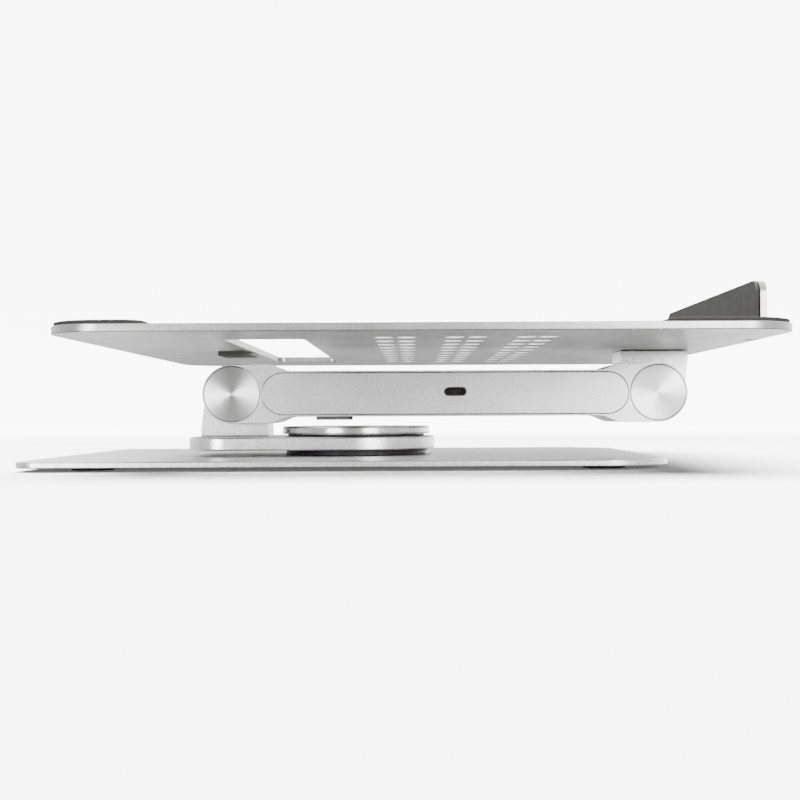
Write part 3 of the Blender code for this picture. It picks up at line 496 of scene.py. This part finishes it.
def solder_mask(name):
    """A circuit board: green lacquer with slightly raised tracks."""
    material, tree, shader = new_material(name, (0.02, 0.11, 0.05), 0.35, 0.0)
    coordinates = tree.nodes.new("ShaderNodeTexCoord")
    tracks = tree.nodes.new("ShaderNodeTexBrick")
    tracks.inputs["Scale"].default_value = 260.0
    tracks.inputs["Color1"].default_value = (0.016, 0.095, 0.045, 1.0)
    tracks.inputs["Color2"].default_value = (0.022, 0.120, 0.055, 1.0)
    tracks.inputs["Mortar"].default_value = (0.050, 0.200, 0.085, 1.0)
    tracks.inputs["Mortar Size"].default_value = 0.04
    tree.links.new(coordinates.outputs["Object"], tracks.inputs["Vector"])
    tree.links.new(tracks.outputs["Color"], shader.inputs["Base Color"])
    relief(tree, shader, tracks.outputs["Fac"], 0.03 * MM, 0.5)
    return material


def woven_fibre(name):
    """Brown friction lining."""
    material, tree, shader = new_material(name, (0.20, 0.15, 0.09), 0.85, 0.0)
    darker, lighter = (0.14, 0.10, 0.06), (0.27, 0.21, 0.14)
    tint(tree, noise(tree, 1500.0, 6.0), shader.inputs["Base Color"], darker, lighter)
    relief(tree, shader, noise(tree, 1800.0), 0.05 * MM, 0.5)
    return material


def brass(name):
    material, tree, shader = new_material(name, (0.80, 0.58, 0.25), 0.25, 1.0)
    vary(tree, noise(tree, 900.0), shader.inputs["Roughness"], 0.2, 0.32)
    return material


def dress(piece, material, slot_name, body, *replaced):
    """Gives a new piece its material and its body, and hides the CAD nodes that it stands for. The slot name
    is not used.
    """
    piece.data.materials.clear()
    piece.data.materials.append(material)
    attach(piece, body)
    if replaced:
        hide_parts(*replaced)
    return piece


# ---------------------------------------------------------------- base

def build_base_plate(material):
    """The base sheet, with a fine ring engraved in its top."""
    low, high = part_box("base_plate")
    radii = (BASE_REAR_CORNER, BASE_FRONT_CORNER, BASE_FRONT_CORNER, BASE_REAR_CORNER)
    base = plate("base_sheet", [rounded_box(low, high, radii, 20)], low.z, high.z, "Z", BASE_RIM)
    circles = [circle(RING_MARK_CENTRE, RING_MARK_RADIUS, 160)]
    circles.append(circle(RING_MARK_CENTRE, RING_MARK_RADIUS - RING_MARK_WIDTH, 160))
    heights = (high.z - RING_MARK_DEPTH, high.z + RING_MARK_DEPTH)
    tool = plate("ring_mark", circles, *heights, "Z", RING_MARK_RIM)
    machined(base, [tool])
    dress(base, material, "anodised_aluminium", "base", "base_plate")


def disc_profile(radius, low, high, rim):
    """A flat disc with rounded rims."""
    profile = [(0.0, low)]
    profile += arc((radius - rim, low + rim), rim, -90.0, 0.0, 4)
    profile += arc((radius - rim, high - rim), rim, 0.0, 90.0, 4)
    return profile + [(0.0, high)]


def build_disc(name, node, rim, axis, material, slot_name, body, steps=128):
    """A round-rimmed disc in place of a CAD node that is a plain one."""
    low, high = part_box(node)
    across = [i for i in range(3) if "XYZ"[i] != axis]
    along = "XYZ".index(axis)
    centre = middle(low, high, *across)
    radius = (high[across[0]] - low[across[0]]) / 2.0
    profile = disc_profile(radius, low[along], high[along], rim)
    piece = turned(name, centre, profile, axis, steps)
    return dress(piece, material, slot_name, body, node)


def build_base_rubber(material):
    for node in ("foot_rear_near", "foot_rear_far", "foot_front_near", "foot_front_far"):
        build_disc("rubber_" + node, node, FOOT_RIM, "Z", material, "grey_silicone", "base", 64)
    name, node = "rubber_centre_pad", "centre_pad"
    build_disc(name, node, CENTRE_PAD_RIM, "Z", material, "grey_silicone", "base")


def build_bearing_rings(material):
    """The plastic rings that the swivel plate slides between. The lower one has a thin flange on top."""
    centre = (0.0, 0.0)
    bore = circle(centre, RING_BORE, 96)
    low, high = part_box("upper_bearing_ring")
    upper = plate("upper_ring", [circle(centre, high.x, 128), bore], low.z, high.z, "Z", RING_RIM)
    dress(upper, material, "black_plastic", "base", "upper_bearing_ring")
    low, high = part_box("lower_bearing_ring")
    step = high.z - RING_FLANGE_THICKNESS
    lower = plate("lower_ring", [circle(centre, RING_RADIUS, 128), bore], low.z, step, "Z", RING_RIM)
    loops = [circle(centre, high.x, 128), bore]
    flange = plate("lower_flange", loops, step, high.z, "Z", RING_FLANGE_RIM)
    joined(lower, [flange])
    dress(lower, material, "black_plastic", "base", "lower_bearing_ring")


def build_cap_disc(material):
    """The disc on top of the hub, with its spigot below."""
    low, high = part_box("cap_disc")
    radius = high.x
    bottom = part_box("upper_bearing_ring")[1].z + CAP_DISC_LIFT
    rim = CAP_DISC_RIM
    profile = [
        (0.0, low.z),
        (SPIGOT_RADIUS, low.z),
        (SPIGOT_RADIUS, bottom),
        (radius - rim, bottom),
        (radius, bottom + rim),
        (radius, high.z - rim),
        (radius - rim, high.z),
        (0.0, high.z),
    ]
    disc = turned("cap_disc_turned", (0.0, 0.0), profile, "Z", 160)
    bevel_turned(disc, CAP_DISC_SOFTENING)
    dress(disc, material, "spun_aluminium", "base", "cap_disc")


def bevel_turned(piece, width):
    """Softens the sharp edges of a turned piece."""
    bevel = piece.modifiers.new("soft_edges", "BEVEL")
    bevel.width = width
    bevel.segments = 2
    bevel.limit_method = "ANGLE"
    bevel.angle_limit = math.radians(30.0)
    while piece.modifiers[0].type != "BEVEL":
        with bpy.context.temp_override(object=piece):
            bpy.ops.object.modifier_move_up(modifier=bevel.name)


# ---------------------------------------------------------------- turntable

def build_swivel_plate(material):
    """A paddle: round about the swivel axis, and square with round corners under the hinge."""
    low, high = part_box("swivel_plate")
    half = high.y
    corner = SWIVEL_CORNER
    rear_low = (low.x + corner, -half + corner)
    rear_high = (low.x + corner, half - corner)
    outline = arc((0.0, 0.0), half, -90.0, 90.0, 72)
    outline += arc(rear_high, corner, 90.0, 180.0, 24) + arc(rear_low, corner, 180.0, 270.0, 24)
    bore = circle((0.0, 0.0), SWIVEL_BORE, 64)
    paddle = plate("swivel_paddle", [outline, bore], low.z, high.z, "Z", SWIVEL_RIM)
    dress(paddle, material, "anodised_aluminium", "turntable", "swivel_plate")


def bracket_outline(axis, half_foot, foot_z, side):
    """Side view of a hinge bracket: round about its hinge, with sides that flare to its foot."""
    radius = BRACKET_RADIUS
    drop = abs(axis.z - foot_z)
    corner = Vector((half_foot, -(drop - BRACKET_FOOT_HEIGHT)))
    tangent = math.degrees(math.atan2(corner.y, corner.x) + math.acos(radius / corner.length))
    points = [(-half_foot, -drop), (half_foot, -drop), tuple(corner)]
    points += arc((0.0, 0.0), radius, tangent, 180.0 - tangent, 64)
    points += [(-corner.x, corner.y)]
    placed = [(axis.x + u, axis.z + side * v) for u, v in points]
    return placed if side > 0 else placed[::-1]


def build_bracket(node, axis, side, body, material):
    low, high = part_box(node)
    foot_z = low.z if side > 0 else high.z
    outline = bracket_outline(axis, (high.x - low.x) / 2.0, foot_z, side)
    lug = plate(node + "_lug", [outline], low.y, high.y, "Y", BRACKET_RIM)
    dress(lug, material, "anodised_aluminium", body, node)


# ---------------------------------------------------------------- arm

def neck_points(axis_x, direction, side, end_radius):
    """The curve between a round end and the body, from the end towards the body."""
    points = []
    start, end = ARM_NECK
    for i in range(25):
        share = i / 24
        fall = (1.0 - math.cos(math.pi * share)) / 2.0
        height = end_radius + (ARM_BODY_HALF_HEIGHT - end_radius) * fall
        x = axis_x + direction * (start + (end - start) * share)
        points.append((x, LOWER_HINGE.z + side * height))
    return points


def arm_outline(end_radius):
    lower, upper = (LOWER_HINGE.x, LOWER_HINGE.z), (UPPER_HINGE.x, UPPER_HINGE.z)
    points = neck_points(lower[0], 1, -1, end_radius) + neck_points(upper[0], -1, -1, end_radius)[::-1]
    points += arc(upper, end_radius, -90.0, 90.0, 64)
    points += neck_points(upper[0], -1, 1, end_radius) + neck_points(lower[0], 1, 1, end_radius)[::-1]
    points += arc(lower, end_radius, 90.0, 270.0, 64)
    return points


def half_sizes(low, high):
    """Half of a box's length along X, and of its height."""
    return (high.x - low.x) / 2.0, (high.z - low.z) / 2.0


def cover_cutters(half):
    """What makes room for the two covers, and the hollow between them."""
    low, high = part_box("near_cover")
    centre = middle(low, high, 0, 2)
    half_u, half_v = half_sizes(low, high)
    pocket = obround(centre, half_u + GROOVE, half_v + GROOVE, 14)
    depth = high.y - low.y + COVER_BACK_GAP
    past = half + CUT_PAST
    cavity = rounded_box(
        (low.x + CAVITY_INSET[0], centre[1] - CAVITY_HALF_HEIGHT),
        (high.x - CAVITY_INSET[1], centre[1] + CAVITY_HALF_HEIGHT),
        (CAVITY_CORNER,) * 4,
        4,
    )
    return [
        prism("cover_pocket_near", pocket, -past, -half + depth, "Y"),
        prism("cover_pocket_far", pocket, half - depth, past, "Y"),
        prism("cavity", cavity, -half + CAVITY_WALL, half - CAVITY_WALL, "Y"),
    ]


def hinge_cutters(axis, inboard, half):
    """The pockets, the bore and the slot at one end of the arm."""
    centre = (axis.x, axis.z)
    past = half + CUT_PAST
    cap = circle(centre, HINGE_CAP_RADIUS + GROOVE, 128)
    nut = circle(centre, NUT_POCKET_RADIUS, 48)
    bore = circle(centre, PIN_BORE_RADIUS, 48)
    nut_inner, nut_outer = NUT_POCKET
    ends = sorted((axis.x - inboard * SLOT_PAST, axis.x + inboard * SLOT_LENGTH))
    slot_low, slot_high = (ends[0], axis.z - SLOT_PAST), (ends[1], axis.z + SLOT_PAST)
    slot = rounded_box(slot_low, slot_high, (SLOT_CORNER,) * 4, 4)
    return [
        prism("cap_near", cap, -past, -CAP_POCKET_FLOOR, "Y"),
        prism("cap_far", cap, CAP_POCKET_FLOOR, past, "Y"),
        prism("nut_near", nut, -nut_outer, -nut_inner, "Y"),
        prism("nut_far", nut, nut_inner, nut_outer, "Y"),
        prism("bore", bore, -PIN_BORE_REACH, PIN_BORE_REACH, "Y"),
        prism("slot", slot, -SLOT_HALF_WIDTH, SLOT_HALF_WIDTH, "Y"),
    ]


def build_arm_frame(material):
    low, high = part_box("arm_frame")
    end_radius = (high.z - low.z) / 2.0
    arm = prism("arm_body", arm_outline(end_radius), low.y, high.y, "Y")
    cutters = cover_cutters(high.y)
    for axis, inboard in ((LOWER_HINGE, 1), (UPPER_HINGE, -1)):
        cutters += hinge_cutters(axis, inboard, high.y)
    machined(arm, cutters, ARM_RIM)
    dress(arm, material, "anodised_aluminium", "arm", "arm_frame")


def build_covers(material):
    """The two strips on the arm's sides. The near one has the port's mouth in it."""
    shell_low, shell_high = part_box("port_shell")
    port = middle(shell_low, shell_high, 0, 2)
    half_u, half_v = half_sizes(shell_low, shell_high)
    mouth = obround(port, half_u + PORT_CLEARANCE, half_v + PORT_CLEARANCE)
    for node in ("near_cover", "far_cover"):
        low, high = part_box(node)
        outline = obround(middle(low, high, 0, 2), *half_sizes(low, high), 24)
        loops = [outline, mouth] if node == "near_cover" else [outline]
        cover = plate(node + "_strip", loops, low.y, high.y, "Y", COVER_RIM)
        dress(cover, material, "anodised_aluminium", "arm", node)


def build_hinge_caps():
    for word, axis in (("lower", LOWER_HINGE), ("upper", UPPER_HINGE)):
        material = spun("spun_%s_cap" % word, "Y", axis)
        for side in ("near", "far"):
            node = "%s_cap_%s" % (word, side)
            name = node + "_turned"
            build_disc(name, node, HINGE_CAP_RIM, "Y", material, "spun_aluminium", "arm")


def build_port(metal, plastic, contact_metal):
    """The receptacle: a thin shell that is closed behind, and a tongue with its rows of contacts."""
    low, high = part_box("port_shell")
    centre = middle(low, high, 0, 2)
    half_u, half_v = half_sizes(low, high)
    outer = obround(centre, half_u, half_v)
    inner = obround(centre, half_u - PORT_SHELL_WALL, half_v - PORT_SHELL_WALL)
    shell = plate("port_tube", [outer, inner], low.y, high.y - PORT_BACK, "Y", PORT_RIM)
    back = plate("port_back", [outer], high.y - PORT_BACK, high.y, "Y", PORT_BACK_RIM)
    joined(shell, [back])
    dress(shell, metal, "steel", "arm", "port_shell")
    low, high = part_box("port_tongue")
    outline = rounded_box((low.x, low.z), (high.x, high.z), (TONGUE_CORNER,) * 4, 4)
    blade = plate("port_blade", [outline], low.y, high.y, "Y", TONGUE_RIM)
    dress(blade, plastic, "black_plastic", "arm", "port_tongue")
    build_contacts(centre[0], low, high, contact_metal)


def build_contacts(middle_x, low, high, material):
    """The plated strips on both faces of the port's tongue."""
    half_u, half_v = CONTACT_HALF
    y_ends = (low.y + CONTACT_Y[0], low.y + CONTACT_Y[1])
    contacts = []
    for i in range(CONTACTS):
        x = middle_x + (i - (CONTACTS - 1) / 2.0) * CONTACT_PITCH
        for z in (low.z, high.z):
            corners = ((x - half_u, z - half_v), (x + half_u, z + half_v))
            strip = rounded_box(*corners, (CONTACT_CORNER,) * 4, 2)
            contacts.append(prism("contact", strip, *y_ends, "Y"))
    pads = joined(contacts[0], contacts[1:])
    pads.name = "port_contacts"
    dress(pads, material, "steel", "arm")


def build_bumper(name, node, body, material):
    """A soft stop, stuck to the face above it."""
    low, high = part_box(node)
    outline = rounded_box(low, high, (BUMPER_CORNER,) * 4, 10)
    piece = plate(name, [outline], low.z, high.z + BUMPER_GLUE, "Z", BUMPER_RIM)
    dress(piece, material, "grey_silicone", body, node)


# ---------------------------------------------------------------- tray

def relief_points(front, side):
    """The notch at one end of the lip, where the bend starts. Its points run along +Y."""
    radius = RELIEF_WIDTH / 2.0
    y = side * (LIP_HALF_WIDTH + radius)
    round_end = arc((front - RELIEF_DEPTH + radius, y), radius, 270.0, 90.0, 16)
    return [(front, y - radius)] + round_end + [(front, y + radius)]


def tray_loops(low, high, front):
    """The tray's outline, its window and its vents."""
    r = TRAY_CORNER
    outline = arc((low.x + r, low.y + r), r, 180.0, 270.0, 32)
    outline += arc((front - r, low.y + r), r, 270.0, 360.0, 32)
    outline += relief_points(front, -1) + relief_points(front, 1)
    outline += arc((front - r, high.y - r), r, 0.0, 90.0, 32)
    outline += arc((low.x + r, high.y - r), r, 90.0, 180.0, 32)
    window = rounded_box(WINDOW[:2], WINDOW[2:], (WINDOW_CORNER,) * 4, 10)
    return [outline, window] + vent_loops(0.0)


def vent_loops(inset):
    """The outlines of all the vents, moved inwards."""
    loops = []
    for group in VENT_GROUPS_X:
        for side in (-1, 1):
            for row in range(VENT_ROWS):
                centre = (group + side * VENT_OFFSET_X, (row - (VENT_ROWS - 1) / 2.0) * VENT_PITCH)
                loops.append(obround(centre, VENT_WIDTH / 2.0 - inset, VENT_LENGTH / 2.0 - inset, 6))
    return loops


def build_vent_edges(material):
    """The milled walls of the vents, painted brighter than the blasted sheet: a painted highlight for the
    light that falls into them.
    """
    low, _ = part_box("tray_plate")
    loops = vent_loops(0.0) + vent_loops(VENT_EDGE)
    bottom, top = low.z + VENT_BREAK, low.z + TRAY_THICKNESS - VENT_BREAK
    edges = plate("vent_edges", loops, bottom, top, "Z", VENT_EDGE_RIM)
    dress(edges, material, "anodised_aluminium", "tray")


def lip_point(front, bottom, y, s, t):
    """Bends a point of the flat lip. s runs from the bend's start towards the top, t from the outer face."""
    radius = BEND_OUTER_RADIUS - t
    bend_length = BEND_OUTER_RADIUS * math.pi / 2.0
    centre_z = bottom + BEND_OUTER_RADIUS
    if s <= 0.0:
        return (front + s, y, centre_z - radius)
    if s >= bend_length:
        return (front + radius, y, centre_z + s - bend_length)
    angle = s / BEND_OUTER_RADIUS
    return (front + radius * math.sin(angle), y, centre_z - radius * math.cos(angle))


def build_lip(front, bottom, top):
    """The front lip: a flat strip with round top corners and rounded rims, bent up from the tray."""
    bend_length = BEND_OUTER_RADIUS * math.pi / 2.0
    full = bend_length + top - bottom - BEND_OUTER_RADIUS
    rim = TRAY_RIM
    layers = [(rim * (1.0 - math.sin(math.radians(a))), rim * (1.0 - math.cos(math.radians(a))))
              for a in (0, 30, 60, 90)]
    layers += [(inset, TRAY_THICKNESS - t) for inset, t in layers[::-1]]
    straight = [-rim] + [bend_length * i / 16 for i in range(17)] + [full - LIP_CORNER]
    stations = [(0.0, s) for s in straight]
    stations += [(math.radians(90.0 * i / 16), full - LIP_CORNER) for i in range(1, 17)]
    bm = bmesh.new()
    grid = {}
    for i, (angle, s) in enumerate(stations):
        for k, (inset, t) in enumerate(layers):
            radius = LIP_CORNER - inset
            half = LIP_HALF_WIDTH - LIP_CORNER + radius * math.cos(angle)
            rise = s + (radius * math.sin(angle) if angle > 0.0 else 0.0)
            for side in (-1, 1):
                grid[i, k, side] = bm.verts.new(lip_point(front, bottom, side * half, rise, t))
    last_i, last_k = len(stations) - 1, len(layers) - 1
    for i in range(last_i):
        for side in (-1, 1):
            for k in range(last_k):
                steps = ((i, k), (i + 1, k), (i + 1, k + 1), (i, k + 1))
                bm.faces.new([grid[at, layer, side] for at, layer in steps])
        for k in (0, last_k):
            bm.faces.new((grid[i, k, -1], grid[i, k, 1], grid[i + 1, k, 1], grid[i + 1, k, -1]))
    for i in (0, last_i):
        for k in range(last_k):
            bm.faces.new((grid[i, k, -1], grid[i, k, 1], grid[i, k + 1, 1], grid[i, k + 1, -1]))
    bmesh.ops.recalc_face_normals(bm, faces=bm.faces)
    return as_piece("lip", bm)


def build_tray(material):
    low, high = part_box("tray_plate")
    front = high.x - BEND_OUTER_RADIUS
    loops = tray_loops(low, high, front)
    tray = plate("tray_sheet", loops, low.z, low.z + TRAY_THICKNESS, "Z", TRAY_RIM)
    joined(tray, [build_lip(front, low.z, high.z)])
    dress(tray, material, "anodised_aluminium", "tray", "tray_plate")


def build_tray_rubber(material):
    corner = PAD_CORNER
    tray_low, tray_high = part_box("tray_plate")
    for node, at_front in (("front_pad", True), ("rear_pad", False)):
        low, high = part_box(node)
        outer = TRAY_CORNER - (tray_high.y - high.y)
        radii = (corner, outer, outer, corner) if at_front else (outer, corner, corner, outer)
        bottom = tray_low.z + TRAY_THICKNESS + PAD_FLOAT
        mat = plate(node + "_mat", [rounded_box(low, high, radii, 24)], bottom, high.z, "Z", PAD_RIM)
        dress(mat, material, "grey_silicone", "tray", node)
    low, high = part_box("lip_facing")
    small, large = FACING_FOOT_CORNER, LIP_CORNER - FACING_INSET
    outline = rounded_box((low.y, low.z), (high.y, high.z), (small, small, large, large), 16)
    facing = plate("lip_facing_mat", [outline], low.x, high.x, "X", FACING_RIM)
    dress(facing, material, "grey_silicone", "tray", "lip_facing")


# ---------------------------------------------------------------- kept CAD pieces

def finish_kept_nodes(metal, fibre, board, chip):
    """Hidden and inner pieces keep their CAD shapes, with better materials."""
    for name, node in frame["nodes"].items():
        if node.hide_render:
            continue
        if "friction_washer" in name:
            material = fibre
        elif name == "hub_board":
            material = board
        elif name == "controller_chip":
            material = chip
        else:
            material = metal
        node.data.materials.clear()
        node.data.materials.append(material)


# ---------------------------------------------------------------- studio

def build_floor():
    """A pale floor that sweeps up into a wall all around. The paper glows further out, as if lit apart."""
    material, tree, shader = new_material("studio_paper", (0.90, 0.90, 0.90), 0.9, 0.0)
    shader.inputs["Specular IOR Level"].default_value = 0.0
    vary(tree, noise(tree, 3.0), shader.inputs["Roughness"], 0.85, 0.95)
    shader.inputs["Emission Color"].default_value = (1.0, 1.0, 1.0, 1.0)
    coordinates = tree.nodes.new("ShaderNodeTexCoord")
    distance = tree.nodes.new("ShaderNodeVectorMath")
    distance.operation = "LENGTH"
    glow = tree.nodes.new("ShaderNodeMapRange")
    glow.inputs["From Min"].default_value = GLOW_START
    glow.inputs["From Max"].default_value = GLOW_FULL
    glow.inputs["To Min"].default_value = 0.0
    glow.inputs["To Max"].default_value = GLOW
    tree.links.new(coordinates.outputs["Object"], distance.inputs[0])
    tree.links.new(distance.outputs["Value"], glow.inputs["Value"])
    tree.links.new(glow.outputs["Result"], shader.inputs["Emission Strength"])
    bm = bmesh.new()
    profile = [(0.0, 0.0), (FLOOR_MIDDLE, 0.0)]
    profile += arc((FLOOR_RADIUS, SWEEP_RADIUS), SWEEP_RADIUS, -90.0, 0.0, 16)
    profile += [(FLOOR_RADIUS + SWEEP_RADIUS, WALL_TOP)]
    rings = []
    for radius, height in profile:
        points = circle((0.0, 0.0), radius, FLOOR_STEPS) if radius > 0.0 else [(0.0, 0.0)]
        rings.append([bm.verts.new((x, y, height)) for x, y in points])
    for i in range(FLOOR_STEPS):
        bm.faces.new((rings[0][0], rings[1][i - 1], rings[1][i]))
    for ring, following in zip(rings[1:], rings[2:]):
        for i in range(FLOOR_STEPS):
            bm.faces.new((ring[i], ring[i - 1], following[i - 1], following[i]))
    floor = as_piece("studio_floor", bm)
    floor.data.materials.append(material)
    floor.visible_glossy = False
    floor.visible_diffuse = False


def add_softbox(name, place, target, size, power):
    light = bpy.data.lights.new(name, "AREA")
    light.shape = "RECTANGLE"
    light.size, light.size_y = size
    light.energy = power
    lamp = bpy.data.objects.new(name, light)
    lamp.location = place
    lamp.rotation_euler = (Vector(target) - Vector(place)).to_track_quat("-Z", "Y").to_euler()
    bpy.context.scene.collection.objects.link(lamp)
    return lamp


def build_surround():
    """The air around: bright towards both sides, darker in the middle and dark below the horizon."""
    world = bpy.data.worlds.new("studio_air")
    world.use_nodes = True
    tree = world.node_tree
    coordinates = tree.nodes.new("ShaderNodeTexCoord")
    direction = tree.nodes.new("ShaderNodeSeparateXYZ")
    across = tree.nodes.new("ShaderNodeMapRange")
    across.inputs["From Min"].default_value = -1.0
    ramp = tree.nodes.new("ShaderNodeValToRGB")
    stops = ramp.color_ramp.elements
    for x, level in SURROUND[1:-1]:
        stops.new((x + 1.0) / 2.0)
    for stop, (x, level) in zip(stops, SURROUND):
        stop.position = (x + 1.0) / 2.0
        stop.color = (level, level, level, 1.0)
    tree.links.new(coordinates.outputs["Generated"], direction.inputs["Vector"])
    tree.links.new(direction.outputs["X"], across.inputs["Value"])
    tree.links.new(across.outputs["Result"], ramp.inputs["Fac"])
    tree.links.new(ramp.outputs["Color"], tree.nodes["Background"].inputs["Color"])
    depth = tree.nodes.new("ShaderNodeMapRange")
    depth.inputs["From Min"].default_value = SURROUND_TURN[0]
    depth.inputs["From Max"].default_value = SURROUND_TURN[1]
    depth.inputs["To Min"].default_value = 1.0
    depth.inputs["To Max"].default_value = SURROUND_BEHIND
    below = tree.nodes.new("ShaderNodeMapRange")
    below.inputs["From Min"].default_value = SURROUND_HORIZON[0]
    below.inputs["From Max"].default_value = SURROUND_HORIZON[1]
    below.inputs["To Min"].default_value = SURROUND_BELOW
    below.inputs["To Max"].default_value = 1.0
    strength = tree.nodes.new("ShaderNodeMath")
    strength.operation = "MULTIPLY"
    tree.links.new(direction.outputs["Y"], depth.inputs["Value"])
    tree.links.new(direction.outputs["Z"], below.inputs["Value"])
    tree.links.new(depth.outputs["Result"], strength.inputs[0])
    tree.links.new(below.outputs["Result"], strength.inputs[1])
    tree.links.new(strength.outputs["Value"], tree.nodes["Background"].inputs["Strength"])
    bpy.context.scene.world = world
    world.cycles_visibility.diffuse = False


def build_lights():
    """A wide light overhead, which metals don't mirror, and a softbox on each side."""
    lamps = {name: add_softbox(name, *values) for name, values in SOFTBOXES.items()}
    lamps["top_softbox"].visible_glossy = False


def build_camera():
    """A level camera just below the tray, almost square to the stand's near side."""
    camera = bpy.data.cameras.new("camera")
    camera.lens = CAMERA_LENS
    camera.sensor_width = CAMERA_SENSOR
    camera.shift_x, camera.shift_y = CAMERA_SHIFT
    camera.clip_start = CAMERA_CLIP
    view = bpy.data.objects.new("camera", camera)
    view.location = CAMERA_PLACE
    view.rotation_euler = (math.radians(90.0), math.radians(CAMERA_ROLL), 0.0)
    bpy.context.scene.collection.objects.link(view)
    bpy.context.scene.camera = view


def main():
    aluminium = anodised("anodised_aluminium")
    # The tray gets a darker copy of the same anodised finish: painted shade for its darker reflections and
    # the shade under it.
    sheet = anodised("anodised_sheet_painted_shade", 0.43)
    rubber = silicone("grey_silicone")
    # A lighter copy of the grey silicone for the tray bumper: painted light for the bounce light from below
    # that it does not get.
    rubber_painted_light = silicone("silicone_painted_light", 0.2)
    plastic = moulded("black_plastic", (0.012, 0.012, 0.012))
    metal = steel("plain_steel")

    build_base_plate(aluminium)
    build_base_rubber(rubber)
    build_bearing_rings(plastic)
    build_cap_disc(spun("spun_cap_disc", "Z", (0.0, 0.0, 0.0)))

    build_swivel_plate(aluminium)
    build_bracket("lower_bracket", LOWER_HINGE, 1, "turntable", aluminium)

    build_arm_frame(aluminium)
    build_covers(aluminium)
    build_hinge_caps()
    # The port's shell is painted near black: painted shade for the dark inside of the port.
    build_port(steel("port_steel_painted_shade", 0.05), plastic, brass("contact_plating"))
    # The arm bumper's silicone is painted much lighter: painted light for the bounce light that reaches it
    # from below.
    build_bumper("arm_bumper_block", "arm_bumper", "arm", silicone("arm_silicone_painted_light", 0.4))

    build_tray(sheet)
    # The vents' walls get a painted highlight: a near-white colour for the light that falls into them.
    build_vent_edges(vent_wall_highlight("vent_wall_painted_highlight"))
    build_bracket("upper_bracket", UPPER_HINGE, -1, "tray", aluminium)
    build_tray_rubber(rubber)
    build_bumper("tray_bumper_block", "tray_bumper", "tray", rubber_painted_light)

    finish_kept_nodes(metal, woven_fibre("friction_fibre"), solder_mask("circuit_board"), plastic)
    build_floor()
    build_surround()
    build_lights()
    build_camera()


main()
